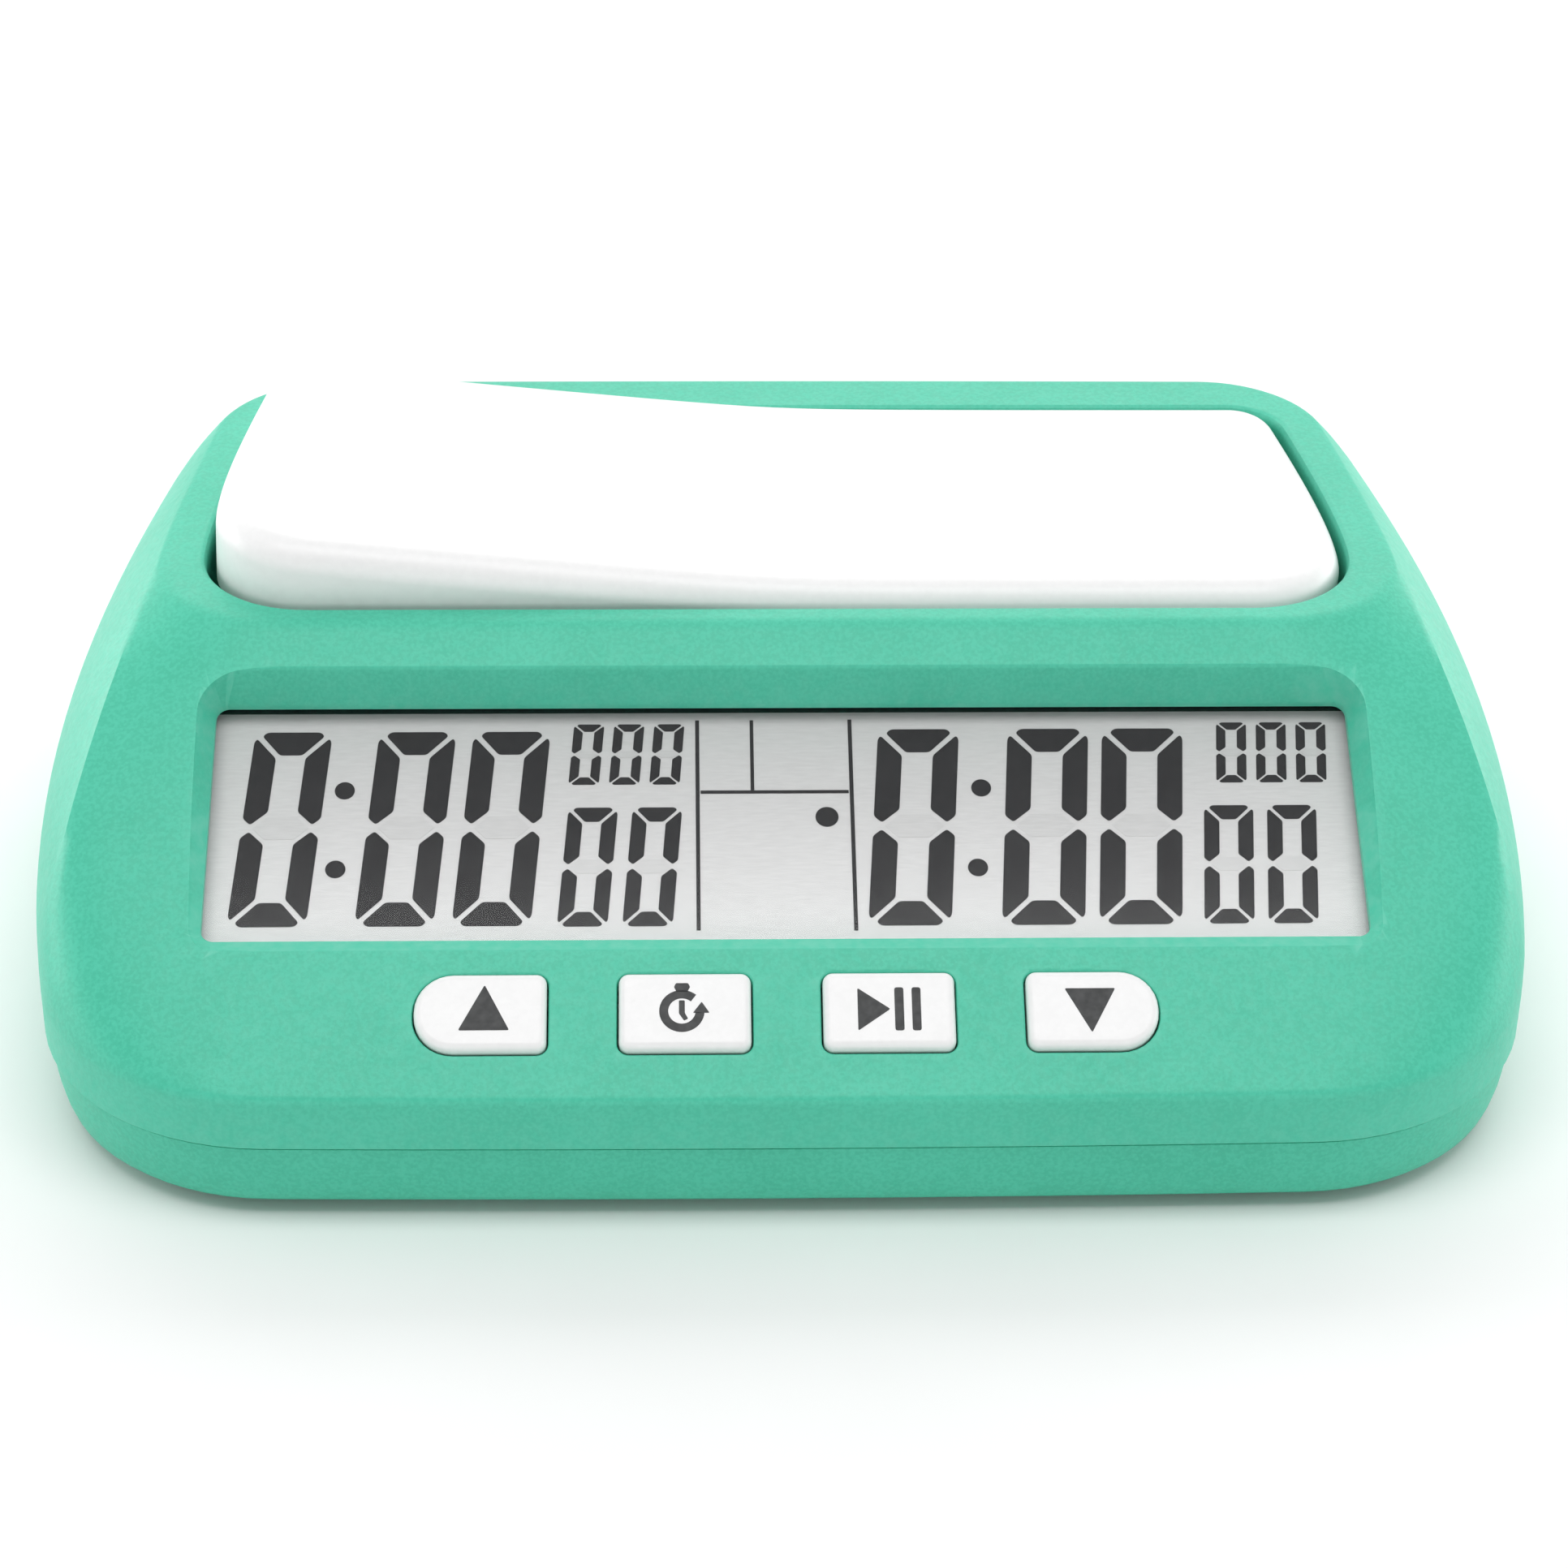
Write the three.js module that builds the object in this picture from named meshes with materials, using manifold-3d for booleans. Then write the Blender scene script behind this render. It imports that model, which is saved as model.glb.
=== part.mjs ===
// Digital chess clock: a two-shell plastic case with a sloped display face, four push buttons,
// a see-saw lever on top, and the electronics, battery and screws inside.
// Millimetres, +Z up, -Y towards the players' side with the display, Z = 0 under the rubber feet.
import * as THREE from 'three';
import { mergeVertices } from 'three/addons/utils/BufferGeometryUtils.js';
import Module from 'manifold-3d';

const wasm = await Module();
wasm.setup();

// ---------- driving dimensions ----------
const FRONT_Y = -51;              // front wall
const REAR_Y = 51;                // rear wall
const FOOT_HEIGHT = 1.2;          // the rubber feet hold the case this far off the table
const PARTING_Z = 8.9;            // line between the lower and the upper shell
const CREASE_Z = 14.8;            // top of the front wall, where the sloped face starts
const RIM_Z = 42;                 // flat rim around the lever
const RIM_FRONT_Y = -6.7;
const WALL = 2.2;                 // shell thickness
const GAP = 0.3;                  // clearance between pieces that touch or move

const WINDOW_BOTTOM = [0, -35.8, 23.0];   // middle of the window's lower edge
const WINDOW_TILT = 26.34 * Math.PI / 180;
const WINDOW_HALF = 57;
const WINDOW_HEIGHT = 27.3;

const LEVER_TILT = 2.9 * Math.PI / 180;   // from level to either end of the travel
const LEVER_PIVOT = [0, 17.5, 38];
const LEVER_TOP_Z = 43.57;
const LEVER_BOTTOM_Z = 37.1;
const WELL_FLOOR_Z = 33.5;

const BUTTON_PITCH = 19.6;
const BUTTON_MIDDLE_X = -0.3;
const BUTTON_Y = -43.3;
const BUTTON_WIDTH = 12.7;
const BUTTON_LENGTH = 8;
const BUTTON_PROUD = 0.9;
const BUTTON_GAP = 0.25;

const FACE_TILT = Math.atan2(RIM_Z - CREASE_Z, RIM_FRONT_Y - FRONT_Y);

// Plans are given by their right half: the two corners, a point that the side bows towards, and
// the corner radii.
const BELT = {
  front: FRONT_Y, frontCorner: [69.8, FRONT_Y + 0.8], side: [80.2, 0],
  rearCorner: [70, REAR_Y - 0.6], rear: REAR_Y, frontRadius: 24, rearRadius: 20,
};
const RIM = {
  front: RIM_FRONT_Y, frontCorner: [64.2, RIM_FRONT_Y], side: [64.2, 12],
  rearCorner: [59.6, REAR_Y - 2.3], rear: REAR_Y - 2, frontRadius: 14, rearRadius: 12.5,
};
const LEVER = {
  front: -2.7, frontCorner: [57.6, -2.7], side: [59.2, 14],
  rearCorner: [55.2, 41], rear: 41, frontRadius: 10.5, rearRadius: 5,
};
const WELL_CLEARANCE = 0.9;

const FINISH = {
  mint: { color: 0x6cc5ab, roughness: 0.55, metalness: 0 },
  white: { color: 0xf2f2f0, roughness: 0.4, metalness: 0 },
  clear: { color: 0xe8f0f0, roughness: 0.05, metalness: 0, transparent: true, opacity: 0.3 },
  glass: { color: 0xc9cdc8, roughness: 0.25, metalness: 0 },
  black: { color: 0x1b1c1e, roughness: 0.5, metalness: 0 },
  rubber: { color: 0x3a3c3e, roughness: 0.85, metalness: 0 },
  board: { color: 0x1f6b3a, roughness: 0.5, metalness: 0 },
  steel: { color: 0xb9bcc0, roughness: 0.3, metalness: 1 },
  cell: { color: 0x2f6fb0, roughness: 0.35, metalness: 0.2 },
  red: { color: 0xb3261e, roughness: 0.5, metalness: 0 },
};

// ---------- geometry helpers ----------
const CASE_DETAIL = { straight: 3, arc: 5, side: 6 };
const SMALL_DETAIL = { straight: 2, arc: 4, side: 2 };

function curve(a, control, b, steps) {
  const line = new THREE.QuadraticBezierCurve(
    new THREE.Vector2(...a), new THREE.Vector2(...control), new THREE.Vector2(...b));
  return line.getPoints(steps).map((p) => [p.x, p.y]);
}

function cornerArc(from, corner, to, radius, steps) {
  const tip = new THREE.Vector2(...corner);
  const back = new THREE.Vector2(...from).sub(tip).normalize();
  const ahead = new THREE.Vector2(...to).sub(tip).normalize();
  const half = Math.acos(back.dot(ahead)) / 2;
  const start = tip.clone().addScaledVector(back, radius / Math.tan(half));
  const inward = back.clone().add(ahead).normalize();
  const centre = tip.clone().addScaledVector(inward, radius / Math.sin(half));
  const first = start.sub(centre).angle();
  const sweep = Math.PI - 2 * half;
  return Array.from({ length: steps + 1 }, (_, i) => {
    const angle = first + sweep * i / steps;
    return [centre.x + radius * Math.cos(angle), centre.y + radius * Math.sin(angle)];
  });
}

// A plan as a closed ring of [x, y], counterclockwise from the middle of its front.
function outline(plan, detail = CASE_DETAIL) {
  const ease = 0.4;
  const frontEase = [plan.frontCorner[0] * ease, plan.front];
  const rearEase = [plan.rearCorner[0] * ease, plan.rear];
  const frontArc = cornerArc(frontEase, plan.frontCorner, plan.side, plan.frontRadius, detail.arc);
  const rearArc = cornerArc(plan.side, plan.rearCorner, rearEase, plan.rearRadius, detail.arc);
  const half = [
    ...curve([0, plan.front], frontEase, frontArc[0], detail.straight).slice(0, -1),
    ...frontArc.slice(0, -1),
    ...curve(frontArc.at(-1), plan.side, rearArc[0], detail.side).slice(0, -1),
    ...rearArc.slice(0, -1),
    ...curve(rearArc.at(-1), rearEase, [0, plan.rear], detail.straight),
  ];
  const mirrored = half.slice(1, -1).reverse().map(([x, y]) => [-x, y]);
  return [...half, ...mirrored];
}

function shrink(plan, by) {
  return {
    front: plan.front + by,
    frontCorner: [plan.frontCorner[0] - by, plan.frontCorner[1] + by],
    side: [plan.side[0] - by, plan.side[1]],
    rearCorner: [plan.rearCorner[0] - by, plan.rearCorner[1] - by],
    rear: plan.rear - by,
    frontRadius: Math.max(plan.frontRadius - by, 0.5),
    rearRadius: Math.max(plan.rearRadius - by, 0.5),
  };
}

function rectangle(halfWidth, front, rear, frontRadius, rearRadius = frontRadius) {
  return {
    front, frontCorner: [halfWidth, front], side: [halfWidth, (front + rear) / 2],
    rearCorner: [halfWidth, rear], rear, frontRadius, rearRadius,
  };
}

const atHeight = (ring, z) => ring.map(([x, y]) => [x, y, z]);

// A closed solid through rings of equal length, first ring lowest. Each end is closed by strips
// that run from the ring's front to its rear.
function loft(rings) {
  const count = rings[0].length;
  const quarter = count / 4;
  const index = [];
  for (let level = 0; level < rings.length - 1; level += 1) {
    for (let i = 0; i < count; i += 1) {
      const next = (i + 1) % count;
      const a = level * count + i;
      const b = level * count + next;
      index.push(a, b, b + count, a, b + count, a + count);
    }
  }
  const closeEnd = (base, flip) => {
    const at = (i) => base + (i + count) % count;
    for (let k = 0; k < count / 2; k += 1) {
      const corners = [at(quarter - k), at(quarter + k), at(quarter + k + 1), at(quarter - k - 1)];
      const faces = [];
      if (k > 0) faces.push([corners[0], corners[1], corners[2]]);
      if (k < count / 2 - 1) faces.push([corners[0], corners[2], corners[3]]);
      for (const face of faces) index.push(...(flip ? face.reverse() : face));
    }
  };
  closeEnd(0, true);
  closeEnd((rings.length - 1) * count, false);
  const geometry = new THREE.BufferGeometry();
  geometry.setAttribute('position', new THREE.Float32BufferAttribute(rings.flat(2), 3));
  geometry.setIndex(index);
  return geometry;
}

function solid(geometry, frame = null) {
  const shape = geometry.clone();
  if (frame) shape.applyMatrix4(frame);
  shape.deleteAttribute('normal');
  shape.deleteAttribute('uv');
  const merged = mergeVertices(shape, 1e-4);
  return new wasm.Manifold(new wasm.Mesh({
    numProp: 3,
    vertProperties: Float32Array.from(merged.attributes.position.array),
    triVerts: Uint32Array.from(merged.index.array),
  }));
}

function joined(...shapes) {
  return shapes.reduce((whole, shape) => whole.add(shape));
}

function cut(body, ...cutters) {
  return cutters.reduce((rest, cutter) => rest.subtract(cutter), body);
}

const slab = (plan, z0, z1, detail = SMALL_DETAIL, frame = null) => {
  const ring = outline(plan, detail);
  return solid(loft([atHeight(ring, z0), atHeight(ring, z1)]), frame);
};

function block([x0, x1], [y0, y1], [z0, z1], frame = null) {
  const geometry = new THREE.BoxGeometry(x1 - x0, y1 - y0, z1 - z0);
  geometry.translate((x0 + x1) / 2, (y0 + y1) / 2, (z0 + z1) / 2);
  return solid(geometry, frame);
}

// A round bar along Z, or a cone when the top radius differs.
function rod(x, y, radius, z0, z1, sides = 16, frame = null, topRadius = radius) {
  const geometry = new THREE.CylinderGeometry(topRadius, radius, z1 - z0, sides);
  geometry.rotateX(Math.PI / 2);
  geometry.translate(x, y, (z0 + z1) / 2);
  return solid(geometry, frame);
}

// A round bar along Y.
function barAlongY(x, z, radius, y0, y1, sides = 16) {
  const geometry = new THREE.CylinderGeometry(radius, radius, y1 - y0, sides);
  geometry.translate(x, (y0 + y1) / 2, z);
  return solid(geometry);
}

// A round bar along X.
function barAlongX(y, z, radius, x0, x1, sides = 20) {
  const geometry = new THREE.CylinderGeometry(radius, radius, x1 - x0, sides);
  geometry.rotateZ(Math.PI / 2);
  geometry.translate((x0 + x1) / 2, y, z);
  return solid(geometry);
}

function roundWire(points, radius, steps, sides = 6) {
  const path = new THREE.CatmullRomCurve3(points.map((p) => new THREE.Vector3(...p)));
  const section = new THREE.Shape();
  for (let i = 0; i < sides; i += 1) {
    const angle = 2 * Math.PI * i / sides;
    const at = [radius * Math.cos(angle), radius * Math.sin(angle)];
    if (i === 0) section.moveTo(...at);
    else section.lineTo(...at);
  }
  return solid(new THREE.ExtrudeGeometry(section, {
    steps, extrudePath: path, bevelEnabled: false,
  }));
}

// Local frames: X across, Y up the slope, Z out of the surface.
function slopeFrame(origin, tilt) {
  const frame = new THREE.Matrix4().makeRotationX(tilt);
  return frame.setPosition(...origin);
}
const WINDOW_FRAME = slopeFrame(WINDOW_BOTTOM, WINDOW_TILT);
const faceZ = (y) => CREASE_Z + (y - FRONT_Y) * Math.tan(FACE_TILT);
const buttonX = (i) => BUTTON_MIDDLE_X + (i - 1.5) * BUTTON_PITCH;
const buttonFrame = (i) => slopeFrame([buttonX(i), BUTTON_Y, faceZ(BUTTON_Y)], FACE_TILT);

// ---------- case form ----------
// The dome runs from the belt plan to the rim plan. Each of its ribs is a cubic curve: straight
// along the sloped face at the front, upright and then rolling inwards at the sides and rear.
const UPRIGHT = 10.6;             // how far the sides stand upright before they roll in
const DOME_STEPS = 6;

function domeRings(belt, rim, beltZ, rimZ) {
  const low = outline(belt);
  const high = outline(rim);
  const rise = rimZ - beltZ;
  const slope = rise / (rim.front - belt.front);
  const rings = [];
  for (let step = 0; step <= DOME_STEPS; step += 1) {
    const t = step / DOME_STEPS;
    const [b1, b2, b3] = [3 * t * (1 - t) ** 2, 3 * t * t * (1 - t), t ** 3];
    rings.push(low.map(([x, y], i) => {
      const upright = Math.min((y - belt.front) * slope, UPRIGHT);
      const side = upright / UPRIGHT;
      const inward = b2 * THREE.MathUtils.lerp(2 / 3, 0.5, side) + b3;
      const up = b1 * upright + rise * (b2 * THREE.MathUtils.lerp(2 / 3, 0.81, side) + b3);
      return [
        x + (high[i][0] - x) * inward,
        y + (high[i][1] - y) * inward,
        beltZ + up,
      ];
    }));
  }
  return rings;
}

const LOWER_EDGE = [[FOOT_HEIGHT, 2.1], [2.0, 1.4], [3.8, 0.9], [PARTING_Z - 0.2, 0.45]];
const ringAt = (inset, z) => atHeight(outline(shrink(BELT, inset)), z);

function upperOuter() {
  return solid(loft([ringAt(0.4, PARTING_Z + 0.2), ...domeRings(BELT, RIM, CREASE_Z, RIM_Z)]));
}

function upperInner() {
  const beltZ = CREASE_Z - 0.56 * WALL;
  const rim = shrink(RIM, 0.4);
  return solid(loft([
    ringAt(WALL + 0.2, PARTING_Z - 1),
    ...domeRings(shrink(BELT, WALL), rim, beltZ, RIM_Z - WALL),
  ]));
}

// ---------- window recess ----------
// The walls flare from the window's own outline out to the sloped face; ring points are in the
// window frame.
const RECESS_EDGE = {
  bottomHalf: 58.5, topHalf: 59, bottom: -1.9, top: 29.4, bottomLift: 1.0, topLift: 3.75,
  bottomRadius: 3, topRadius: 4.8,
};
const FLARE = 1.7;                // the cutter runs on past the face by this factor

function recessCutter() {
  const edge = RECESS_EDGE;
  const inner = outline(rectangle(WINDOW_HALF, 0, WINDOW_HEIGHT, 1.3));
  const middle = (edge.bottom + edge.top) / 2;
  const outer = outline({
    front: edge.bottom, frontCorner: [edge.bottomHalf, edge.bottom],
    side: [(edge.bottomHalf + edge.topHalf) / 2, middle],
    rearCorner: [edge.topHalf, edge.top], rear: edge.top,
    frontRadius: edge.bottomRadius, rearRadius: edge.topRadius,
  });
  const lift = (y) => THREE.MathUtils.mapLinear(
    y, edge.bottom, edge.top, edge.bottomLift, edge.topLift);
  const far = inner.map(([x, y], i) => [
    x + (outer[i][0] - x) * FLARE, y + (outer[i][1] - y) * FLARE, lift(outer[i][1]) * FLARE,
  ]);
  return solid(loft([atHeight(inner, -4), atHeight(inner, 0), far]), WINDOW_FRAME);
}

// ---------- display stack, depths below the window plane ----------
const LIP = -0.9;
const LENS_TOP = -1.1;
const LENS_BOTTOM = -2.0;
const GLASS_TOP = -2.3;
const GLASS_BOTTOM = -4.9;
const BOARD_TOP = -7.6;
const BOARD_BOTTOM = -9.2;
const DISPLAY_HALF = 58.6;
const DISPLAY_BOTTOM = -1.5;
const DISPLAY_TOP = 28.5;
const FRAME_WALL = 1.3;
const BOARD_SCREWS = [[-62.9, 1], [62.9, 1], [-62.9, 25], [62.9, 25]];

const displayPlan = (grow, radius) => rectangle(
  DISPLAY_HALF + grow, DISPLAY_BOTTOM - grow, DISPLAY_TOP + grow, radius);

// ---------- screws, feet and bottom features ----------
const CASE_SCREWS = [[-57, -41.5], [57, -41.5], [-62, 30], [62, 30]];
const FEET = [[-62, -27], [62, -27], [-55, 41], [55, 41]];
const FOOT_RADIUS = 5;
const HEAD_RADIUS = 2.9;
const HEAD_Z = 5;                 // the case screws' heads end here, inside their counterbores
const FLOOR_Z = FOOT_HEIGHT + WALL;

const BAY = { half: 29.5, y: 14, depth: 8.2, roof: 18.9, wall: 1.6 };
const CELL_RADIUS = 7.1;
const CELL_Z = 11.2;
const DOOR = { half: 33.4, depth: 10.2, top: 2.4, radius: 2.5 };
const KNOB = { x: 50, y: 14, travel: 3 };
const BUZZER = { x: -50, y: 12, radius: 8.5 };

const LEVER_SWITCH_X = 44;
const LEVER_STOP_X = 52;
const LUGS = [[9, 12], [23, 26]]; // the well's lugs, along Y
const BARRELS = [[5.4, 8.7], [26.3, 29.6]];   // the lever's own bearings, along Y
const LEVER_RIBS = [-30, -16, 16, 30];        // along X
const AXLE_RADIUS = 1.25;
const LEVER_BOARD_Z = 28.6;
const LEVER_BOARD_TOP = 29.8;
const LEVER_BOARD_POSTS = [11, 24];           // along Y; the rear one takes the screw
const LEVER_BOARD_SCREW_Y = LEVER_BOARD_POSTS[1];

const CASE_BOSS_RADIUS = 3.2;     // in the upper shell
const SEAT_BOSS_RADIUS = 4.2;     // in the lower shell, around the screw heads
const BOARD_BOSS_RADIUS = 2.4;
const CASE_PILOT = 1.25;          // pilot holes for the screws' threads
const BOARD_PILOT = 0.95;

function crossRecess(x, y, z0, z1, size, frame = null) {
  const [long, short] = [size / 2, size / 8];
  return joined(
    block([x - long, x + long], [y - short, y + short], [z0, z1], frame),
    block([x - short, x + short], [y - long, y + long], [z0, z1], frame),
  );
}

// ---------- the shells ----------
function upperCase() {
  const outer = upperOuter();
  const shell = cut(outer, upperInner());
  const well = shrink(LEVER, -WELL_CLEARANCE);
  const additions = [
    slab(shrink(LEVER, -WELL_CLEARANCE - 2), WELL_FLOOR_Z - 2, RIM_Z + 1, CASE_DETAIL),
    slab(displayPlan(2.2, 3), LIP, 20, SMALL_DETAIL, WINDOW_FRAME),
    ...CASE_SCREWS.map(([x, y]) => rod(x, y, CASE_BOSS_RADIUS, PARTING_Z + 0.2, RIM_Z)),
    ...BOARD_SCREWS.map(
      ([x, y]) => rod(x, y, BOARD_BOSS_RADIUS, BOARD_TOP + GAP, 3, 12, WINDOW_FRAME)),
    ...[-1, 1].flatMap((side) => LEVER_BOARD_POSTS.map(
      (y) => rod(side * LEVER_SWITCH_X, y, 2.2, LEVER_BOARD_TOP + GAP, WELL_FLOOR_Z, 12))),
  ].map((shape) => shape.intersect(outer));
  const lugs = LUGS.map(([y0, y1]) => joined(
    block([-3, 3], [y0, y1], [WELL_FLOOR_Z - 1, LEVER_PIVOT[2]]),
    barAlongY(0, LEVER_PIVOT[2], 2.4, y0, y1),
  ));
  const tightBore = AXLE_RADIUS + 0.15;
  let body = cut(
    joined(shell, ...additions),
    slab(well, WELL_FLOOR_Z, RIM_Z + 5, CASE_DETAIL),
    recessCutter(),
    slab(displayPlan(FRAME_WALL + 2 * GAP, 1.5), BOARD_TOP, LIP, SMALL_DETAIL, WINDOW_FRAME),
    solid(loft([ringAt(1.0, PARTING_Z - 1), ringAt(1.0, PARTING_Z + 1.7)])),
  );
  body = joined(body, ...lugs);
  return cut(
    body,
    barAlongY(0, LEVER_PIVOT[2], tightBore, LUGS[0][0] - 1, LUGS[1][1] + 1),
    ...[0, 1, 2, 3].map((i) => buttonSlab(i, BUTTON_GAP, -6, 6, buttonFrame(i))),
    ...CASE_SCREWS.map(([x, y]) => rod(x, y, CASE_PILOT, PARTING_Z - 1, 17, 12)),
    ...BOARD_SCREWS.map(
      ([x, y]) => rod(x, y, BOARD_PILOT, BOARD_TOP - 1, -2.2, 10, WINDOW_FRAME)),
    ...[-1, 1].map((side) => block(
      [side * LEVER_SWITCH_X - 3.5, side * LEVER_SWITCH_X + 3.5],
      [LEVER_PIVOT[1] - 3.5, LEVER_PIVOT[1] + 3.5], [WELL_FLOOR_Z - 3, WELL_FLOOR_Z + 1])),
    ...[-1, 1].map((side) => rod(
      side * LEVER_SWITCH_X, LEVER_BOARD_SCREW_Y, BOARD_PILOT, LEVER_BOARD_TOP - 1,
      WELL_FLOOR_Z - 0.6, 10)),
  );
}

function lowerCase() {
  const outer = solid(loft(LOWER_EDGE.map(([z, inset]) => ringAt(inset, z))));
  const lip = solid(loft([ringAt(1.3, FLOOR_Z), ringAt(1.3, PARTING_Z + 1.4)]));
  const pocket = solid(loft([ringAt(WALL + 0.1, FLOOR_Z), ringAt(WALL + 0.1, PARTING_Z + 5)]));
  const wall = BAY.wall;
  const doorCut = rectangle(
    DOOR.half + GAP, BAY.y - DOOR.depth - GAP, BAY.y + DOOR.depth + GAP, DOOR.radius);
  const knobPocket = rectangle(6, -3.4, 3.4, 1.5);
  const knobFrame = slopeFrame([KNOB.x + KNOB.travel / 2, KNOB.y, 0], 0);
  const body = joined(
    cut(joined(outer, lip), pocket),
    block([-BAY.half - wall, BAY.half + wall], [BAY.y - BAY.depth - wall, BAY.y + BAY.depth + wall],
      [FLOOR_Z - 1, BAY.roof + wall]),
    ...CASE_SCREWS.map(([x, y]) => rod(x, y, SEAT_BOSS_RADIUS, FLOOR_Z - 1, PARTING_Z - 0.1)),
    cut(rod(BUZZER.x, BUZZER.y, BUZZER.radius + 1.3, FLOOR_Z - 1, FLOOR_Z + 2, 24),
      rod(BUZZER.x, BUZZER.y, BUZZER.radius + GAP, FLOOR_Z, FLOOR_Z + 3, 24)),
  );
  const soundHoles = [[0, 0], [3, 0], [-3, 0], [0, 3], [0, -3]];
  return cut(
    body,
    block([-BAY.half, BAY.half], [BAY.y - BAY.depth, BAY.y + BAY.depth], [0, BAY.roof]),
    slab(doorCut, 0, DOOR.top + 0.15),
    rod(DOOR.half - 1, BAY.y, 5, 0, DOOR.top - 0.2, 20),
    ...[-1, 1].map((end) => block(
      [end * (BAY.half - 0.7) - 0.6, end * (BAY.half - 0.7) + 0.6], [BAY.y - 2.3, BAY.y + 2.3],
      [BAY.roof - 1, BAY.roof + 3])),
    ...CASE_SCREWS.map(([x, y]) => rod(x, y, HEAD_RADIUS + GAP, 0, HEAD_Z + 0.2)),
    ...CASE_SCREWS.map(([x, y]) => rod(x, y, 1.6, 0, PARTING_Z + 1, 12)),
    ...FEET.map(([x, y]) => rod(x, y, FOOT_RADIUS + GAP, 0, FOOT_HEIGHT + 0.9, 24)),
    slab(knobPocket, 0, FOOT_HEIGHT + 1.2, SMALL_DETAIL, knobFrame),
    block([KNOB.x - 1.4, KNOB.x + KNOB.travel + 1.4], [KNOB.y - 1.1, KNOB.y + 1.1], [0, 5]),
    ...soundHoles.map(([x, y]) => rod(BUZZER.x + x, BUZZER.y + y, 0.8, 0, 5, 8)),
  );
}

function batteryDoor() {
  const plate = slab(
    rectangle(DOOR.half, BAY.y - DOOR.depth, BAY.y + DOOR.depth, DOOR.radius),
    FOOT_HEIGHT + 0.05, DOOR.top);
  const plug = cut(
    block([-28.9, 28.9], [BAY.y - 7.6, BAY.y + 7.6], [DOOR.top - 0.4, 3.3]),
    block([-27.5, 27.5], [BAY.y - 6.2, BAY.y + 6.2], [DOOR.top, 4]),
  );
  const grooves = [22, 24, 26].map((x) => block(
    [x - 0.4, x + 0.4], [BAY.y - 4, BAY.y + 4], [0, FOOT_HEIGHT + 0.5]));
  return cut(joined(plate, plug), ...grooves);
}

function caseScrew([x, y]) {
  const head = rod(x, y, HEAD_RADIUS - 0.6, HEAD_Z - 2, HEAD_Z - 1.2, 16, null, HEAD_RADIUS);
  const rest = rod(x, y, HEAD_RADIUS, HEAD_Z - 1.2, HEAD_Z);
  const shank = rod(x, y, 1.1, HEAD_Z, 15, 8);
  const tip = rod(x, y, 1.1, 15, 16.4, 8, null, 0.2);
  return cut(joined(head, rest, shank, tip), crossRecess(x, y, 0, HEAD_Z - 0.9, 3.2));
}

function foot([x, y]) {
  return joined(
    rod(x, y, FOOT_RADIUS - 0.5, 0, 0.4, 24, null, FOOT_RADIUS),
    rod(x, y, FOOT_RADIUS, 0.4, FOOT_HEIGHT + 0.7, 24),
  );
}

// ---------- lever ----------
const leverTop = (x) => LEVER_TOP_Z + Math.tan(LEVER_TILT) * (Math.hypot(x, 8) - 8);
const LEVER_EDGE = 3;             // radius of the lever's top edge

function leverForm(inset, drop, bottomZ) {
  const edge = LEVER_EDGE - inset / 2;
  const ring = (by, below) => outline(shrink(LEVER, inset + by))
    .map(([x, y]) => [x, y, leverTop(x) - drop - below]);
  const rings = [atHeight(outline(shrink(LEVER, inset)), bottomZ), ring(0, edge)];
  for (const angle of [30, 60, 90].map(THREE.MathUtils.degToRad)) {
    rings.push(ring(edge * (1 - Math.cos(angle)), edge * (1 - Math.sin(angle))));
  }
  rings.push(ring(edge + 5, 0), ring(edge + 11, 0));
  return solid(loft(rings));
}

function lever() {
  const [, , pivotZ] = LEVER_PIVOT;
  const shell = leverForm(0, 0, LEVER_BOTTOM_Z);
  const skin = cut(shell, leverForm(1.8, 2, LEVER_BOTTOM_Z - 1));
  const barrels = BARRELS.map(([y0, y1]) => joined(
    barAlongY(0, pivotZ, 2.6, y0, y1),
    block([-2.6, 2.6], [y0, y1], [pivotZ, LEVER_TOP_Z - 1]),
  ));
  const posts = [[LEVER_SWITCH_X, 37.7], [LEVER_STOP_X, 38.3]].flatMap(([x, z]) => [-1, 1].map(
    (side) => rod(side * x, LEVER_PIVOT[1], 2.2, z, leverTop(x) - 1, 12)));
  const ribs = LEVER_RIBS.map((x) => block(
    [x - 0.7, x + 0.7], [LEVER.front, LEVER.rear], [38.6, LEVER_TOP_Z - 0.5]));
  const inside = [...barrels, ...posts, ...ribs].map((shape) => shape.intersect(joined(
    shell, block([-3, 3], [5, 30], [pivotZ - 3, LEVER_TOP_Z - 1]))));
  return cut(joined(skin, ...inside), barAlongY(0, pivotZ, AXLE_RADIUS + GAP, 2, 33));
}

// The lever rests with its right side pressed.
function leverRest() {
  const [x, y, z] = LEVER_PIVOT;
  return new THREE.Matrix4().makeTranslation(x, y, z)
    .multiply(new THREE.Matrix4().makeRotationY(LEVER_TILT))
    .multiply(new THREE.Matrix4().makeTranslation(-x, -y, -z));
}

function leverSwitch(side) {
  const x = side * LEVER_SWITCH_X;
  const y = LEVER_PIVOT[1];
  return joined(
    block([x - 3, x + 3], [y - 3, y + 3], [LEVER_BOARD_TOP + 0.1, WELL_FLOOR_Z - 0.2]),
    rod(x, y, 1.5, WELL_FLOOR_Z - 0.6, WELL_FLOOR_Z + 1.7, 12),
  );
}

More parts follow.
